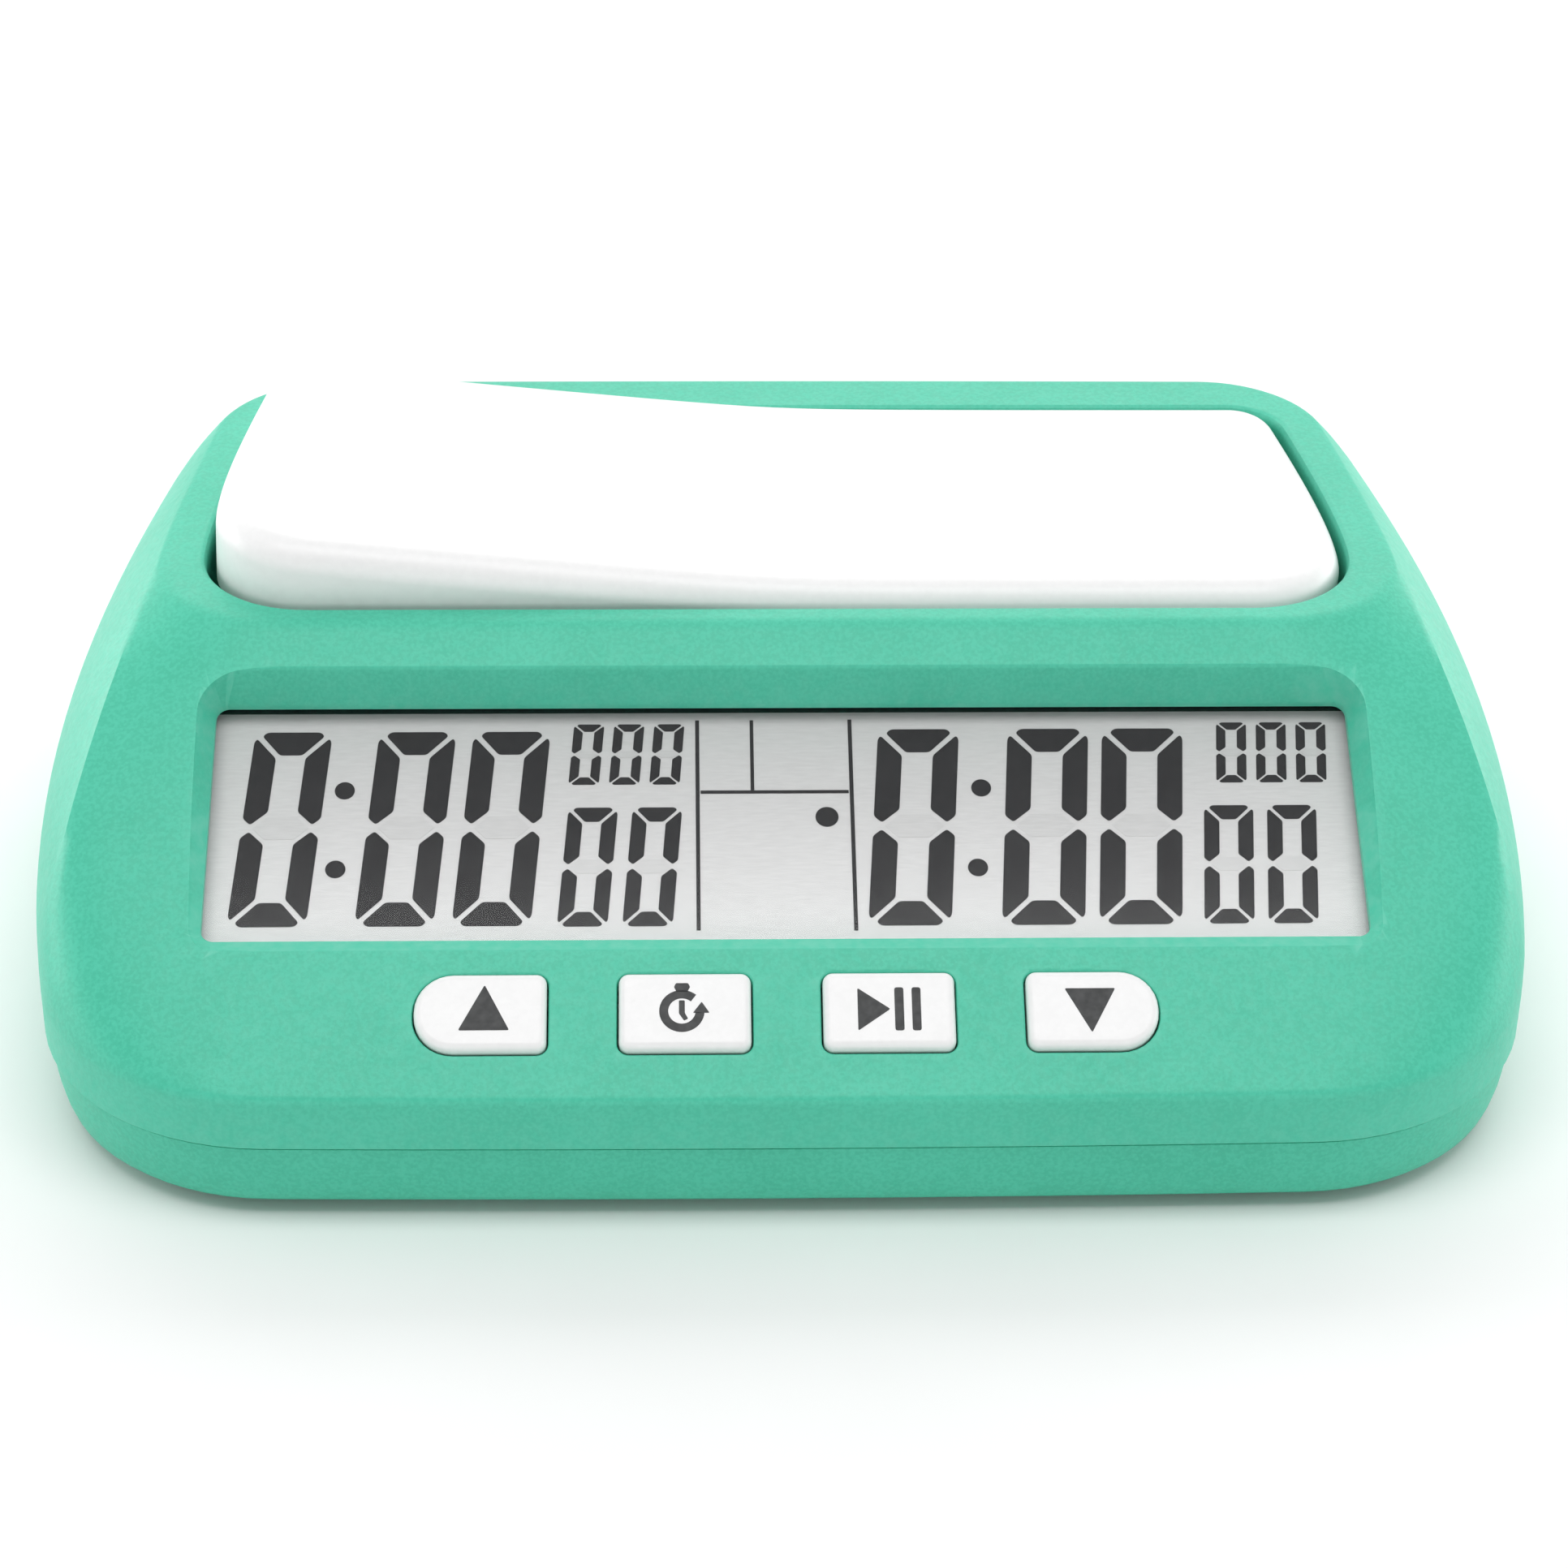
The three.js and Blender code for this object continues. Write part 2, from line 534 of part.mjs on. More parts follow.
function leverBoard(side) {
  const x = side * LEVER_SWITCH_X;
  return cut(
    block([x - 7, x + 7], [7.5, 27.5], [LEVER_BOARD_Z, LEVER_BOARD_TOP]),
    rod(x, LEVER_BOARD_SCREW_Y, 1.1, LEVER_BOARD_Z - 1, LEVER_BOARD_TOP + 1, 12),
  );
}

function leverBoardScrew(side) {
  const [x, y] = [side * LEVER_SWITCH_X, LEVER_BOARD_SCREW_Y];
  const z = LEVER_BOARD_Z - 0.1;
  return cut(
    joined(rod(x, y, 1.9, z - 1.2, z, 12), rod(x, y, 0.8, z - 0.4, z + 3.8, 8)),
    crossRecess(x, y, z - 2, z - 0.6, 2),
  );
}

const leverBumper = (side) => joined(
  rod(side * LEVER_STOP_X, LEVER_PIVOT[1], 2.6, WELL_FLOOR_Z + 0.1, WELL_FLOOR_Z + 1, 16),
  rod(side * LEVER_STOP_X, LEVER_PIVOT[1], 2.6, WELL_FLOOR_Z + 1, WELL_FLOOR_Z + 1.9, 16, null, 1.9),
);

// ---------- buttons and display ----------
const BUTTON_CORNER = 1;
const BUTTON_ROUND = 3.8;         // the outer ends of the first and the last button
const BUTTON_EDGE = 0.4;
const BUTTON_TRAVEL_FLOOR = -4.1; // end of the stem that reaches for the switch

function buttonRing(i, grow) {
  const reach = BUTTON_LENGTH / 2 + grow;
  const plan = (radius) => outline(
    rectangle(BUTTON_WIDTH / 2 + grow, -reach, reach, radius + grow), SMALL_DETAIL);
  const square = plan(BUTTON_CORNER);
  const round = plan(BUTTON_ROUND);
  const outward = { 0: -1, 3: 1 }[i] ?? 0;
  return square.map((point, k) => (point[0] * outward > 0 ? round[k] : point));
}

const buttonSlab = (i, grow, z0, z1, frame = null) => solid(loft(
  [atHeight(buttonRing(i, grow), z0), atHeight(buttonRing(i, grow), z1)]), frame);

function button(i) {
  const shoulder = BUTTON_PROUD - BUTTON_EDGE;
  const cap = solid(loft([
    atHeight(buttonRing(i, 0), -2.8),
    atHeight(buttonRing(i, 0), shoulder),
    atHeight(buttonRing(i, -BUTTON_EDGE), BUTTON_PROUD),
  ]));
  return joined(
    cap,
    slab(rectangle(BUTTON_WIDTH / 2 + 0.9, -BUTTON_LENGTH / 2 - 0.6, BUTTON_LENGTH / 2, 0.6),
      -3.5, -2.6),
    rod(0, 0, 1.8, BUTTON_TRAVEL_FLOOR, -3.4, 12),
  );
}

function lcdFrame() {
  return cut(
    slab(displayPlan(FRAME_WALL + GAP, 1.5), BOARD_TOP + GAP, GLASS_TOP),
    slab(displayPlan(GAP, 0.5), BOARD_TOP - 1, GLASS_TOP + 1),
  );
}

function mainBoard() {
  const wide = block([-65.5, 65.5], [-4.5, 30.5], [BOARD_BOTTOM, BOARD_TOP]);
  const narrow = block([-52, 52], [-13, -4], [BOARD_BOTTOM, BOARD_TOP]);
  return cut(
    joined(wide, narrow),
    ...BOARD_SCREWS.map(([x, y]) => rod(x, y, 1.1, BOARD_BOTTOM - 1, BOARD_TOP + 1, 12)),
  );
}

function boardScrew([x, y]) {
  const z = BOARD_BOTTOM - 0.1;
  return cut(
    joined(rod(x, y, 1.9, z - 1.2, z, 12), rod(x, y, 0.8, z - 0.4, -3, 8)),
    crossRecess(x, y, z - 2, z - 0.6, 2),
  );
}

function tactSwitch(i) {
  const at = new THREE.Vector3(buttonX(i), BUTTON_Y, faceZ(BUTTON_Y));
  at.applyMatrix4(WINDOW_FRAME.clone().invert());
  return joined(
    block([at.x - 3, at.x + 3], [at.y - 3, at.y + 3], [BOARD_TOP + 0.1, BOARD_TOP + 1.7]),
    rod(at.x, at.y, 1.6, BOARD_TOP + 1.5, BOARD_TOP + 2.3, 12),
  );
}

function epoxyBlob() {
  const profile = [[0, 0], [6, 0], [6, 0.2], [4.8, 0.9], [2.6, 1.4], [0, 1.6]];
  const dome = new THREE.LatheGeometry(profile.map(([r, h]) => new THREE.Vector2(r, h)), 20);
  dome.rotateX(-Math.PI / 2);
  dome.translate(0, 12, BOARD_BOTTOM - 0.1);
  return solid(dome);
}

// ---------- power ----------
function cellBody() {
  const start = -28.3;
  return joined(
    barAlongX(BAY.y, CELL_Z, 2.6, start, start + 1.2, 16),
    barAlongX(BAY.y, CELL_Z, CELL_RADIUS, start + 1, start + 50.5, 28),
  );
}

function contactPlate(end) {
  const x = end * (BAY.half - 0.7);
  return joined(
    block([x - 0.3, x + 0.3], [BAY.y - 5, BAY.y + 5], [5, BAY.roof - 0.4]),
    block([x - 0.3, x + 0.3], [BAY.y - 2, BAY.y + 2], [BAY.roof - 1, BAY.roof + 3.4]),
  );
}

function contactSpring() {
  const turns = 4;
  const perTurn = 10;
  const [from, to] = [28.1, 22.8];
  const points = Array.from({ length: turns * perTurn + 1 }, (_, i) => {
    const t = i / (turns * perTurn);
    const angle = 2 * Math.PI * turns * t;
    const radius = 4.2 - 1.8 * t;
    return [from + (to - from) * t, BAY.y + radius * Math.cos(angle), CELL_Z + radius * Math.sin(angle)];
  });
  return roundWire(points, 0.35, turns * perTurn);
}

function powerKnob() {
  const z = FOOT_HEIGHT + 0.15;
  const grip = block([KNOB.x - 2.6, KNOB.x + 2.6], [KNOB.y - 2.2, KNOB.y + 2.2], [z, z + 0.8]);
  const stem = block([KNOB.x - 1, KNOB.x + 1], [KNOB.y - 0.8, KNOB.y + 0.8], [z + 0.5, 3.5]);
  const grooves = [-1.5, 0, 1.5].map((dx) => block(
    [KNOB.x + dx - 0.3, KNOB.x + dx + 0.3], [KNOB.y - 3, KNOB.y + 3], [0, z + 0.3]));
  return cut(joined(grip, stem), ...grooves);
}

const powerSwitch = () => joined(
  block([KNOB.x - 4, KNOB.x + 7], [KNOB.y - 3, KNOB.y + 3], [FLOOR_Z + 0.4, FLOOR_Z + 4.4]),
  ...[-2, 1.5, 5].map((dx) => block(
    [KNOB.x + dx - 0.4, KNOB.x + dx + 0.4], [KNOB.y - 0.3, KNOB.y + 0.3],
    [FLOOR_Z + 4, FLOOR_Z + 6.4])),
);

function buzzer() {
  return joined(
    rod(BUZZER.x, BUZZER.y, BUZZER.radius, FLOOR_Z + 0.2, FLOOR_Z + 4.6, 24),
    rod(BUZZER.x, BUZZER.y, BUZZER.radius - 1.5, FLOOR_Z + 4.4, FLOOR_Z + 5.2, 24),
  );
}

// Leads, each from the piece it serves to the rear of the main board.
const LEADS = {
  battery_lead_red: [[-28.8, 14, 23.1], [-28, 8, 25], [-24, -3, 25], [-21, -11.5, 22.8]],
  battery_lead_black: [[28.8, 14, 23.1], [28, 8, 25], [24, -3, 25], [21, -11.5, 22.8]],
  switch_lead: [[51.5, 14, 10.2], [50, 8, 16], [42, -6, 22], [34, -12.6, 22.2]],
  buzzer_lead: [[-50, 12, 9], [-48, 5, 15], [-42, -6, 21], [-34, -12.6, 22.2]],
  rocker_lead_left: [[-44, 9.5, 27.7], [-44, 5, 26.4], [-43, -3, 26], [-42, -8.4, 24.4]],
  rocker_lead_right: [[44, 9.5, 27.7], [44, 5, 26.4], [43, -3, 26], [42, -8.4, 24.4]],
};

// ---------- assembly ----------
const clock = new THREE.Group();
clock.name = 'chess_clock';

function place(name, body, finish, frame = null) {
  const mesh = body.getMesh();
  const geometry = new THREE.BufferGeometry();
  geometry.setAttribute('position', new THREE.BufferAttribute(
    Float32Array.from(mesh.vertProperties), 3));
  geometry.setIndex(new THREE.BufferAttribute(Uint32Array.from(mesh.triVerts), 1));
  if (frame) geometry.applyMatrix4(frame);
  geometry.computeVertexNormals();
  const node = new THREE.Mesh(geometry, new THREE.MeshStandardMaterial(FINISH[finish]));
  node.name = name;
  clock.add(node);
}

place('upper_case', upperCase(), 'mint');
place('lower_case', lowerCase(), 'mint');
place('battery_door', batteryDoor(), 'mint');
place('rocker', lever(), 'white', leverRest());
place('rocker_axle', barAlongY(0, LEVER_PIVOT[2], AXLE_RADIUS, 4.6, 30.4, 12), 'steel');
for (const [side, word] of [[-1, 'left'], [1, 'right']]) {
  place(`rocker_switch_${word}`, leverSwitch(side), 'black');
  place(`rocker_board_${word}`, leverBoard(side), 'board');
  place(`rocker_board_screw_${word}`, leverBoardScrew(side), 'steel');
  place(`rocker_bumper_${word}`, leverBumper(side), 'rubber');
}
['up', 'timer', 'start', 'down'].forEach((word, i) => {
  place(`button_${word}`, button(i), 'white', buttonFrame(i));
  place(`button_switch_${word}`, tactSwitch(i), 'black', WINDOW_FRAME);
});
place('lens', slab(displayPlan(0, 1.5), LENS_BOTTOM, LENS_TOP), 'clear', WINDOW_FRAME);
place('lcd_glass', slab(displayPlan(0, 0.5), GLASS_BOTTOM, GLASS_TOP), 'glass', WINDOW_FRAME);
place('lcd_frame', lcdFrame(), 'black', WINDOW_FRAME);
place('zebra_strip', block([-50, 50], [-1.2, 1.2], [BOARD_TOP + 0.1, GLASS_BOTTOM - 0.1]),
  'rubber', WINDOW_FRAME);
place('main_board', mainBoard(), 'board', WINDOW_FRAME);
place('epoxy_chip', epoxyBlob(), 'black', WINDOW_FRAME);
place('crystal', block([12, 20], [10, 13], [BOARD_BOTTOM - 3.1, BOARD_BOTTOM - 0.1]),
  'steel', WINDOW_FRAME);
place('capacitor', rod(-16, 12, 2.5, BOARD_BOTTOM - 7, BOARD_BOTTOM - 0.1), 'black', WINDOW_FRAME);
BOARD_SCREWS.forEach((at, i) => place(`board_screw_${i + 1}`, boardScrew(at), 'steel', WINDOW_FRAME));
place('battery_cell', cellBody(), 'cell');
place('contact_plus', contactPlate(-1), 'steel');
place('contact_minus', contactPlate(1), 'steel');
place('contact_spring', contactSpring(), 'steel');
place('power_knob', powerKnob(), 'black');
place('power_switch', powerSwitch(), 'black');
place('buzzer', buzzer(), 'black');
FEET.forEach((at, i) => place(`foot_${i + 1}`, foot(at), 'rubber'));
CASE_SCREWS.forEach((at, i) => place(`case_screw_${i + 1}`, caseScrew(at), 'steel'));
for (const [name, points] of Object.entries(LEADS)) {
  place(name, roundWire(points, 0.6, 10), name.endsWith('red') ? 'red' : 'black');
}

export default clock;
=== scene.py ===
"""Looks of the chess clock: fine shells, lever, buttons, display, finishes, light and camera."""

import math

import bmesh
import bpy
from mathutils import Matrix, Vector


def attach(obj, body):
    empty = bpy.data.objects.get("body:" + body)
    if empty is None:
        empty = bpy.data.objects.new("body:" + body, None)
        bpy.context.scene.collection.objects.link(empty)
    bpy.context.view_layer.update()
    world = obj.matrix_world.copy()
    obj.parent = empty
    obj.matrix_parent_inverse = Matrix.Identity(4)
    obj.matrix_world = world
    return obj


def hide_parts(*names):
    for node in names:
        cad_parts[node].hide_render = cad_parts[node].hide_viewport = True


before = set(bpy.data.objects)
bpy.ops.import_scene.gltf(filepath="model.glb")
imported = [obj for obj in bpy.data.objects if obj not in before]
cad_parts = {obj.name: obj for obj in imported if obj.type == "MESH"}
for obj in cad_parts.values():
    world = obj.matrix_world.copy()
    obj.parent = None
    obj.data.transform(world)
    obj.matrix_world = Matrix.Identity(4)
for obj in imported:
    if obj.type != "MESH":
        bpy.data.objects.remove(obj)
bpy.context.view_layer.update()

# ---------- driving dimensions, in millimetres ----------
MM = 0.001
FRONT_Y, REAR_Y = -51, 51
FOOT_HEIGHT = 1.2
PARTING_Z = 8.9
CREASE_Z = 14.8
RIM_Z = 42
RIM_FRONT_Y = -6.7
WALL = 2.2
DOOR_GAP = 0.3
FACE_TILT = math.atan2(RIM_Z - CREASE_Z, RIM_FRONT_Y - FRONT_Y)

WINDOW_ORIGIN = (0, -35.8, 23.0)
WINDOW_TILT = math.radians(26.34)
WINDOW_HALF = 57
WINDOW_HEIGHT = 27.3
WINDOW_CORNER = 1.3

LEVER_TILT = math.radians(2.9)
LEVER_PIVOT = (0, 17.5, 38)
LEVER_TOP_Z = 43.57
LEVER_BOTTOM_Z = 37.1
LEVER_EDGE = 3
WELL_FLOOR_Z = 33.5
WELL_CLEARANCE = 0.9
WELL_WALL = 2

BUTTONS = ("up", "timer", "start", "down")
BUTTON_PITCH = 19.6
BUTTON_MIDDLE_X = -0.3
BUTTON_Y = -43.3
BUTTON_WIDTH = 12.7
BUTTON_LENGTH = 8
BUTTON_PROUD = 0.9
BUTTON_CORNER = 1
BUTTON_ROUND = 3.8
BUTTON_EDGE = 0.8
BUTTON_SKIRT_Z = -2.8
BUTTON_GAP = 0.15

BELT = dict(front=FRONT_Y, front_corner=(69.8, -50.2), side=(80.2, 0),
            rear_corner=(70, 50.4), rear=REAR_Y, front_radius=24, rear_radius=20)
RIM = dict(front=RIM_FRONT_Y, front_corner=(64.2, RIM_FRONT_Y), side=(64.2, 12),
           rear_corner=(59.6, 48.7), rear=49, front_radius=14, rear_radius=12.5)
LEVER = dict(front=-2.7, front_corner=(57.6, -2.7), side=(59.2, 14),
             rear_corner=(55.2, 41), rear=41, front_radius=10.5, rear_radius=5)
FINE = dict(straight=16, arc=14, side=20)
PLAIN = dict(straight=3, arc=8, side=3)


# ---------- curves and plans ----------
def lerp(a, b, t):
    return a + (b - a) * t


def bezier(a, control, b, steps):
    """Points of a quadratic curve, both ends included."""
    points = []
    for i in range(steps + 1):
        t = i / steps
        points.append(tuple(
            (1 - t) ** 2 * p + 2 * t * (1 - t) * q + t * t * r for p, q, r in zip(a, control, b)))
    return points


def corner_arc(start, corner, end, radius, steps):
    """Points of the arc that rounds a corner, from the side of its start to that of its end."""
    tip = Vector(corner)
    back = (Vector(start) - tip).normalized()
    ahead = (Vector(end) - tip).normalized()
    half = math.acos(back.dot(ahead)) / 2
    first = tip + back * radius / math.tan(half)
    centre = tip + (back + ahead).normalized() * radius / math.sin(half)
    angle = math.atan2(first.y - centre.y, first.x - centre.x)
    sweep = math.pi - 2 * half
    return [(centre.x + radius * math.cos(angle + sweep * i / steps),
             centre.y + radius * math.sin(angle + sweep * i / steps)) for i in range(steps + 1)]


def outline(plan, detail=FINE):
    """A plan as a closed ring, counterclockwise from the middle of its front."""
    ease = 0.4
    front_ease = (plan["front_corner"][0] * ease, plan["front"])
    rear_ease = (plan["rear_corner"][0] * ease, plan["rear"])
    front = corner_arc(
        front_ease, plan["front_corner"], plan["side"], plan["front_radius"], detail["arc"])
    rear = corner_arc(
        plan["side"], plan["rear_corner"], rear_ease, plan["rear_radius"], detail["arc"])
    half = bezier((0, plan["front"]), front_ease, front[0], detail["straight"])[:-1]
    half += front[:-1]
    half += bezier(front[-1], plan["side"], rear[0], detail["side"])[:-1]
    half += rear[:-1]
    half += bezier(rear[-1], rear_ease, (0, plan["rear"]), detail["straight"])
    return half + [(-x, y) for x, y in reversed(half[1:-1])]


def shrink(plan, by):
    """The plan with all its sides moved inward; a negative distance moves them outward."""
    return dict(
        front=plan["front"] + by,
        front_corner=(plan["front_corner"][0] - by, plan["front_corner"][1] + by),
        side=(plan["side"][0] - by, plan["side"][1]),
        rear_corner=(plan["rear_corner"][0] - by, plan["rear_corner"][1] - by),
        rear=plan["rear"] - by,
        front_radius=max(plan["front_radius"] - by, 0.5),
        rear_radius=max(plan["rear_radius"] - by, 0.5),
    )


def rectangle(half, front, rear, radius):
    return dict(front=front, front_corner=(half, front), side=(half, (front + rear) / 2),
                rear_corner=(half, rear), rear=rear, front_radius=radius, rear_radius=radius)


def level(ring, z):
    return [(x, y, z) for x, y in ring]


def belt_ring(inset, z):
    return level(outline(shrink(BELT, inset)), z)


def quarter_turn(radius, steps):
    """(inset, drop) pairs of a rounded edge, from its side up to its top."""
    angles = [math.pi / 2 * i / steps for i in range(steps + 1)]
    return [(radius * (1 - math.cos(a)), radius * (1 - math.sin(a))) for a in angles]


def slope_frame(origin, tilt):
    return Matrix.Translation(origin) @ Matrix.Rotation(tilt, 4, "X")


WINDOW = slope_frame(WINDOW_ORIGIN, WINDOW_TILT)


def button_x(i):
    return BUTTON_MIDDLE_X + (i - 1.5) * BUTTON_PITCH


def button_frame(i):
    z = CREASE_Z + (BUTTON_Y - FRONT_Y) * math.tan(FACE_TILT)
    return slope_frame((button_x(i), BUTTON_Y, z), FACE_TILT)


# ---------- mesh helpers ----------
def piece(name, vertices, faces, place=None):
    """A mesh object from points in millimetres."""
    place = place or Matrix.Identity(4)
    mesh = bpy.data.meshes.new(name)
    mesh.from_pydata([tuple((place @ Vector(v)) * MM) for v in vertices], [], faces)
    mesh.update()
    made = bpy.data.objects.new(name, mesh)
    bpy.context.scene.collection.objects.link(made)
    return made


def loft(name, rings, place=None):
    """A closed solid through rings of equal length, lowest first; strips close its ends."""
    count = len(rings[0])
    quarter = count // 4
    faces = []
    for base in range(0, (len(rings) - 1) * count, count):
        for i in range(count):
            j = (i + 1) % count
            faces.append((base + i, base + j, base + count + j, base + count + i))
    for base, flip in ((0, True), ((len(rings) - 1) * count, False)):
        for k in range(count // 2):
            strip = [base + (quarter + step) % count for step in (-k, k, k + 1, -k - 1)]
            if k == 0:
                strip = strip[1:]
            elif k == count // 2 - 1:
                strip = strip[:3]
            faces.append(tuple(reversed(strip)) if flip else tuple(strip))
    return piece(name, [point for ring in rings for point in ring], faces, place)


def slab(name, plan, z0, z1, detail=PLAIN, place=None):
    ring = outline(plan, detail)
    return loft(name, [level(ring, z0), level(ring, z1)], place)


def block(name, x, y, z):
    """A plain box between two bounds on each axis."""
    corners = [(i, j, k) for k in z for j in y for i in x]
    faces = [(0, 2, 3, 1), (4, 5, 7, 6), (0, 1, 5, 4), (1, 3, 7, 5), (3, 2, 6, 7), (2, 0, 4, 6)]
    return piece(name, corners, faces)


def turned(name, x, y, profile, sides=48):
    """A solid of revolution about a vertical line; the profile is (radius, z), lowest first."""
    vertices, faces = [], []
    for radius, z in profile:
        for i in range(sides):
            angle = 2 * math.pi * i / sides
            vertices.append((x + radius * math.cos(angle), y + radius * math.sin(angle), z))
    for base in range(0, (len(profile) - 1) * sides, sides):
        for i in range(sides):
            j = (i + 1) % sides
            faces.append((base + i, base + j, base + sides + j, base + sides + i))
    faces.append(tuple(reversed(range(sides))))
    faces.append(tuple(range(len(vertices) - sides, len(vertices))))
    return piece(name, vertices, faces)


def rod(name, x, y, radius, z0, z1):
    return turned(name, x, y, [(radius, z0), (radius, z1)], 32)


def combine(body, tools, operation="DIFFERENCE"):
    """Applies the tools to the body and removes them."""
    for tool in tools:
        step = body.modifiers.new(tool.name, "BOOLEAN")
        step.operation = operation
        step.solver = "MANIFOLD"
        step.object = tool
    graph = bpy.context.evaluated_depsgraph_get()
    result = bpy.data.meshes.new_from_object(body.evaluated_get(graph), depsgraph=graph)
    body.modifiers.clear()
    body.data = result
    for tool in tools:
        bpy.data.objects.remove(tool)
    return body


def shade(obj):
    """Smooth shading that stays crisp at real edges."""
    obj.data.shade_smooth()
    obj.data.set_sharp_from_angle(angle=math.radians(30))
    weighted = obj.modifiers.new("weighted normals", "WEIGHTED_NORMAL")
    weighted.keep_sharp = True
    return obj


def refine(node, body, width):
    """A softened copy of a CAD node that stands for it: its sharp edges get a small radius."""
    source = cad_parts[node]
    made = bpy.data.objects.new(node + "_fine", source.data.copy())
    bpy.context.scene.collection.objects.link(made)
    mesh = bmesh.new()
    mesh.from_mesh(made.data)
    bmesh.ops.remove_doubles(mesh, verts=mesh.verts, dist=1e-6)
    bmesh.ops.dissolve_limit(
        mesh, angle_limit=math.radians(1), verts=mesh.verts, edges=mesh.edges)
    sharp = [e for e in mesh.edges if e.is_manifold and e.calc_face_angle() > math.radians(35)]
    bmesh.ops.bevel(mesh, geom=sharp, offset=width * MM, offset_type="OFFSET", segments=2,
                    profile=0.5, affect="EDGES", clamp_overlap=True)
    mesh.to_mesh(made.data)
    mesh.free()
    shade(made)
    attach(made, body)
    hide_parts(node)
    return made


# ---------- the shells ----------
UPRIGHT = 10.6
DOME_START, DOME_END, DOME_STEPS = 0.08, 0.975, 22
CREASE_ROUND = 0.6
RIM_ROUND = 0.8
# The rounded lower edge: (inset, height above the parting plane).
UPPER_SEAM = ((0.35, 0.1), (0.12, 0.17), (0, 0.4))
INNER_STEPS = 8
INNER_RIM_INSET = 0.4


def dome_ring(low, high, belt, rim, belt_z, rim_z, t):
    """Where every rib of the dome is at t, from the belt at 0 to the rim at 1."""
    rise = rim_z - belt_z
    slope = rise / (rim["front"] - belt["front"])
    b1, b2, b3 = 3 * t * (1 - t) ** 2, 3 * t * t * (1 - t), t ** 3
    ring = []
    for (x, y), (hx, hy) in zip(low, high):
        upright = min((y - belt["front"]) * slope, UPRIGHT)
        side = upright / UPRIGHT
        inward = b2 * lerp(2 / 3, 0.5, side) + b3
        up = b1 * upright + rise * (b2 * lerp(2 / 3, 0.81, side) + b3)
        ring.append((x + (hx - x) * inward, y + (hy - y) * inward, belt_z + up))
    return ring


def rounded(before, corner, after, steps=4):
    """Rings of a rounded edge between two rings, through curves that aim at the corner ring."""
    columns = [bezier(a, c, b, steps) for a, c, b in zip(before, corner, after)]
    return [list(ring) for ring in zip(*columns)]


def upper_outer():
    """The outside of the upper case: seam, crease, dome and rim."""
    low, high = outline(BELT), outline(RIM)
    dome = [dome_ring(low, high, BELT, RIM, CREASE_Z, RIM_Z,
                      lerp(DOME_START, DOME_END, i / DOME_STEPS)) for i in range(DOME_STEPS + 1)]
    crease = rounded(level(low, CREASE_Z - CREASE_ROUND), level(low, CREASE_Z), dome[0])
    top = level(outline(shrink(RIM, RIM_ROUND)), RIM_Z)
    flat = level(outline(shrink(RIM, 1.5 * RIM_ROUND)), RIM_Z)
    rim = rounded(dome[-1], level(high, RIM_Z), top) + [flat]
    seam = [belt_ring(inset, PARTING_Z + rise) for inset, rise in UPPER_SEAM]
    return loft("upper_shell", seam + crease + dome[1:-1] + rim)


def upper_inner():
    """The hollow inside the upper case."""
    belt, rim = shrink(BELT, WALL), shrink(RIM, INNER_RIM_INSET)
    low, high = outline(belt), outline(rim)
    belt_z = CREASE_Z - 0.56 * WALL
    rings = [dome_ring(low, high, belt, rim, belt_z, RIM_Z - WALL, i / INNER_STEPS)
             for i in range(INNER_STEPS + 1)]
    return loft("inside", [belt_ring(WALL + 0.2, PARTING_Z - 1)] + rings)


# The rounded mouth of the well: (growth of the plan, drop below the rim).
WELL_MOUTH = ((0, 1.1), (0.06, 0.6), (0.24, 0.22), (0.5, 0.05), (0.8, -0.02), (1.6, -3))


def well_cutter():
    """The lever's well, with a rounded mouth."""
    plan = shrink(LEVER, -WELL_CLEARANCE)
    mouth = [level(outline(shrink(plan, -grow)), RIM_Z - drop) for grow, drop in WELL_MOUTH]
    return loft("well", [level(outline(plan), WELL_FLOOR_Z)] + mouth)


WINDOW_PLAN = rectangle(WINDOW_HALF, 0, WINDOW_HEIGHT, WINDOW_CORNER)
RECESS = dict(bottom_half=58.5, top_half=59, bottom=-1.9, top=29.4, bottom_lift=1.0,
              top_lift=3.75, bottom_radius=3, top_radius=4.8)
RECESS_ROUND = 0.55


def recess_cutter():
    """The flared surround of the window, with a rounded edge where it meets the face."""
    inner = outline(WINDOW_PLAN)
    outer = outline(dict(
        front=RECESS["bottom"], front_corner=(RECESS["bottom_half"], RECESS["bottom"]),
        side=((RECESS["bottom_half"] + RECESS["top_half"]) / 2,
              (RECESS["bottom"] + RECESS["top"]) / 2),
        rear_corner=(RECESS["top_half"], RECESS["top"]), rear=RECESS["top"],
        front_radius=RECESS["bottom_radius"], rear_radius=RECESS["top_radius"]))
    tilt = (RECESS["top_lift"] - RECESS["bottom_lift"]) / (RECESS["top"] - RECESS["bottom"])
    rings = []
    for (x, y), (ox, oy) in zip(inner, outer):
        foot = Vector((x, y, 0))
        edge = Vector((ox, oy, RECESS["bottom_lift"] + tilt * (oy - RECESS["bottom"])))
        wall = (edge - foot).normalized()
        away = Vector((ox - x, oy - y, tilt * (oy - y))).normalized()
        up = away.lerp(Vector((0, 0, 1)), 0.5).normalized()
        curve = bezier(edge - wall * RECESS_ROUND, edge, edge + away * RECESS_ROUND, 4)
        lip = Vector(curve[-1]) + Vector((0, 0, 0.03))
        rings.append([foot, *curve[:-1], lip, lip + up * 8])
    return loft("recess", [list(ring) for ring in zip(*rings)], WINDOW)


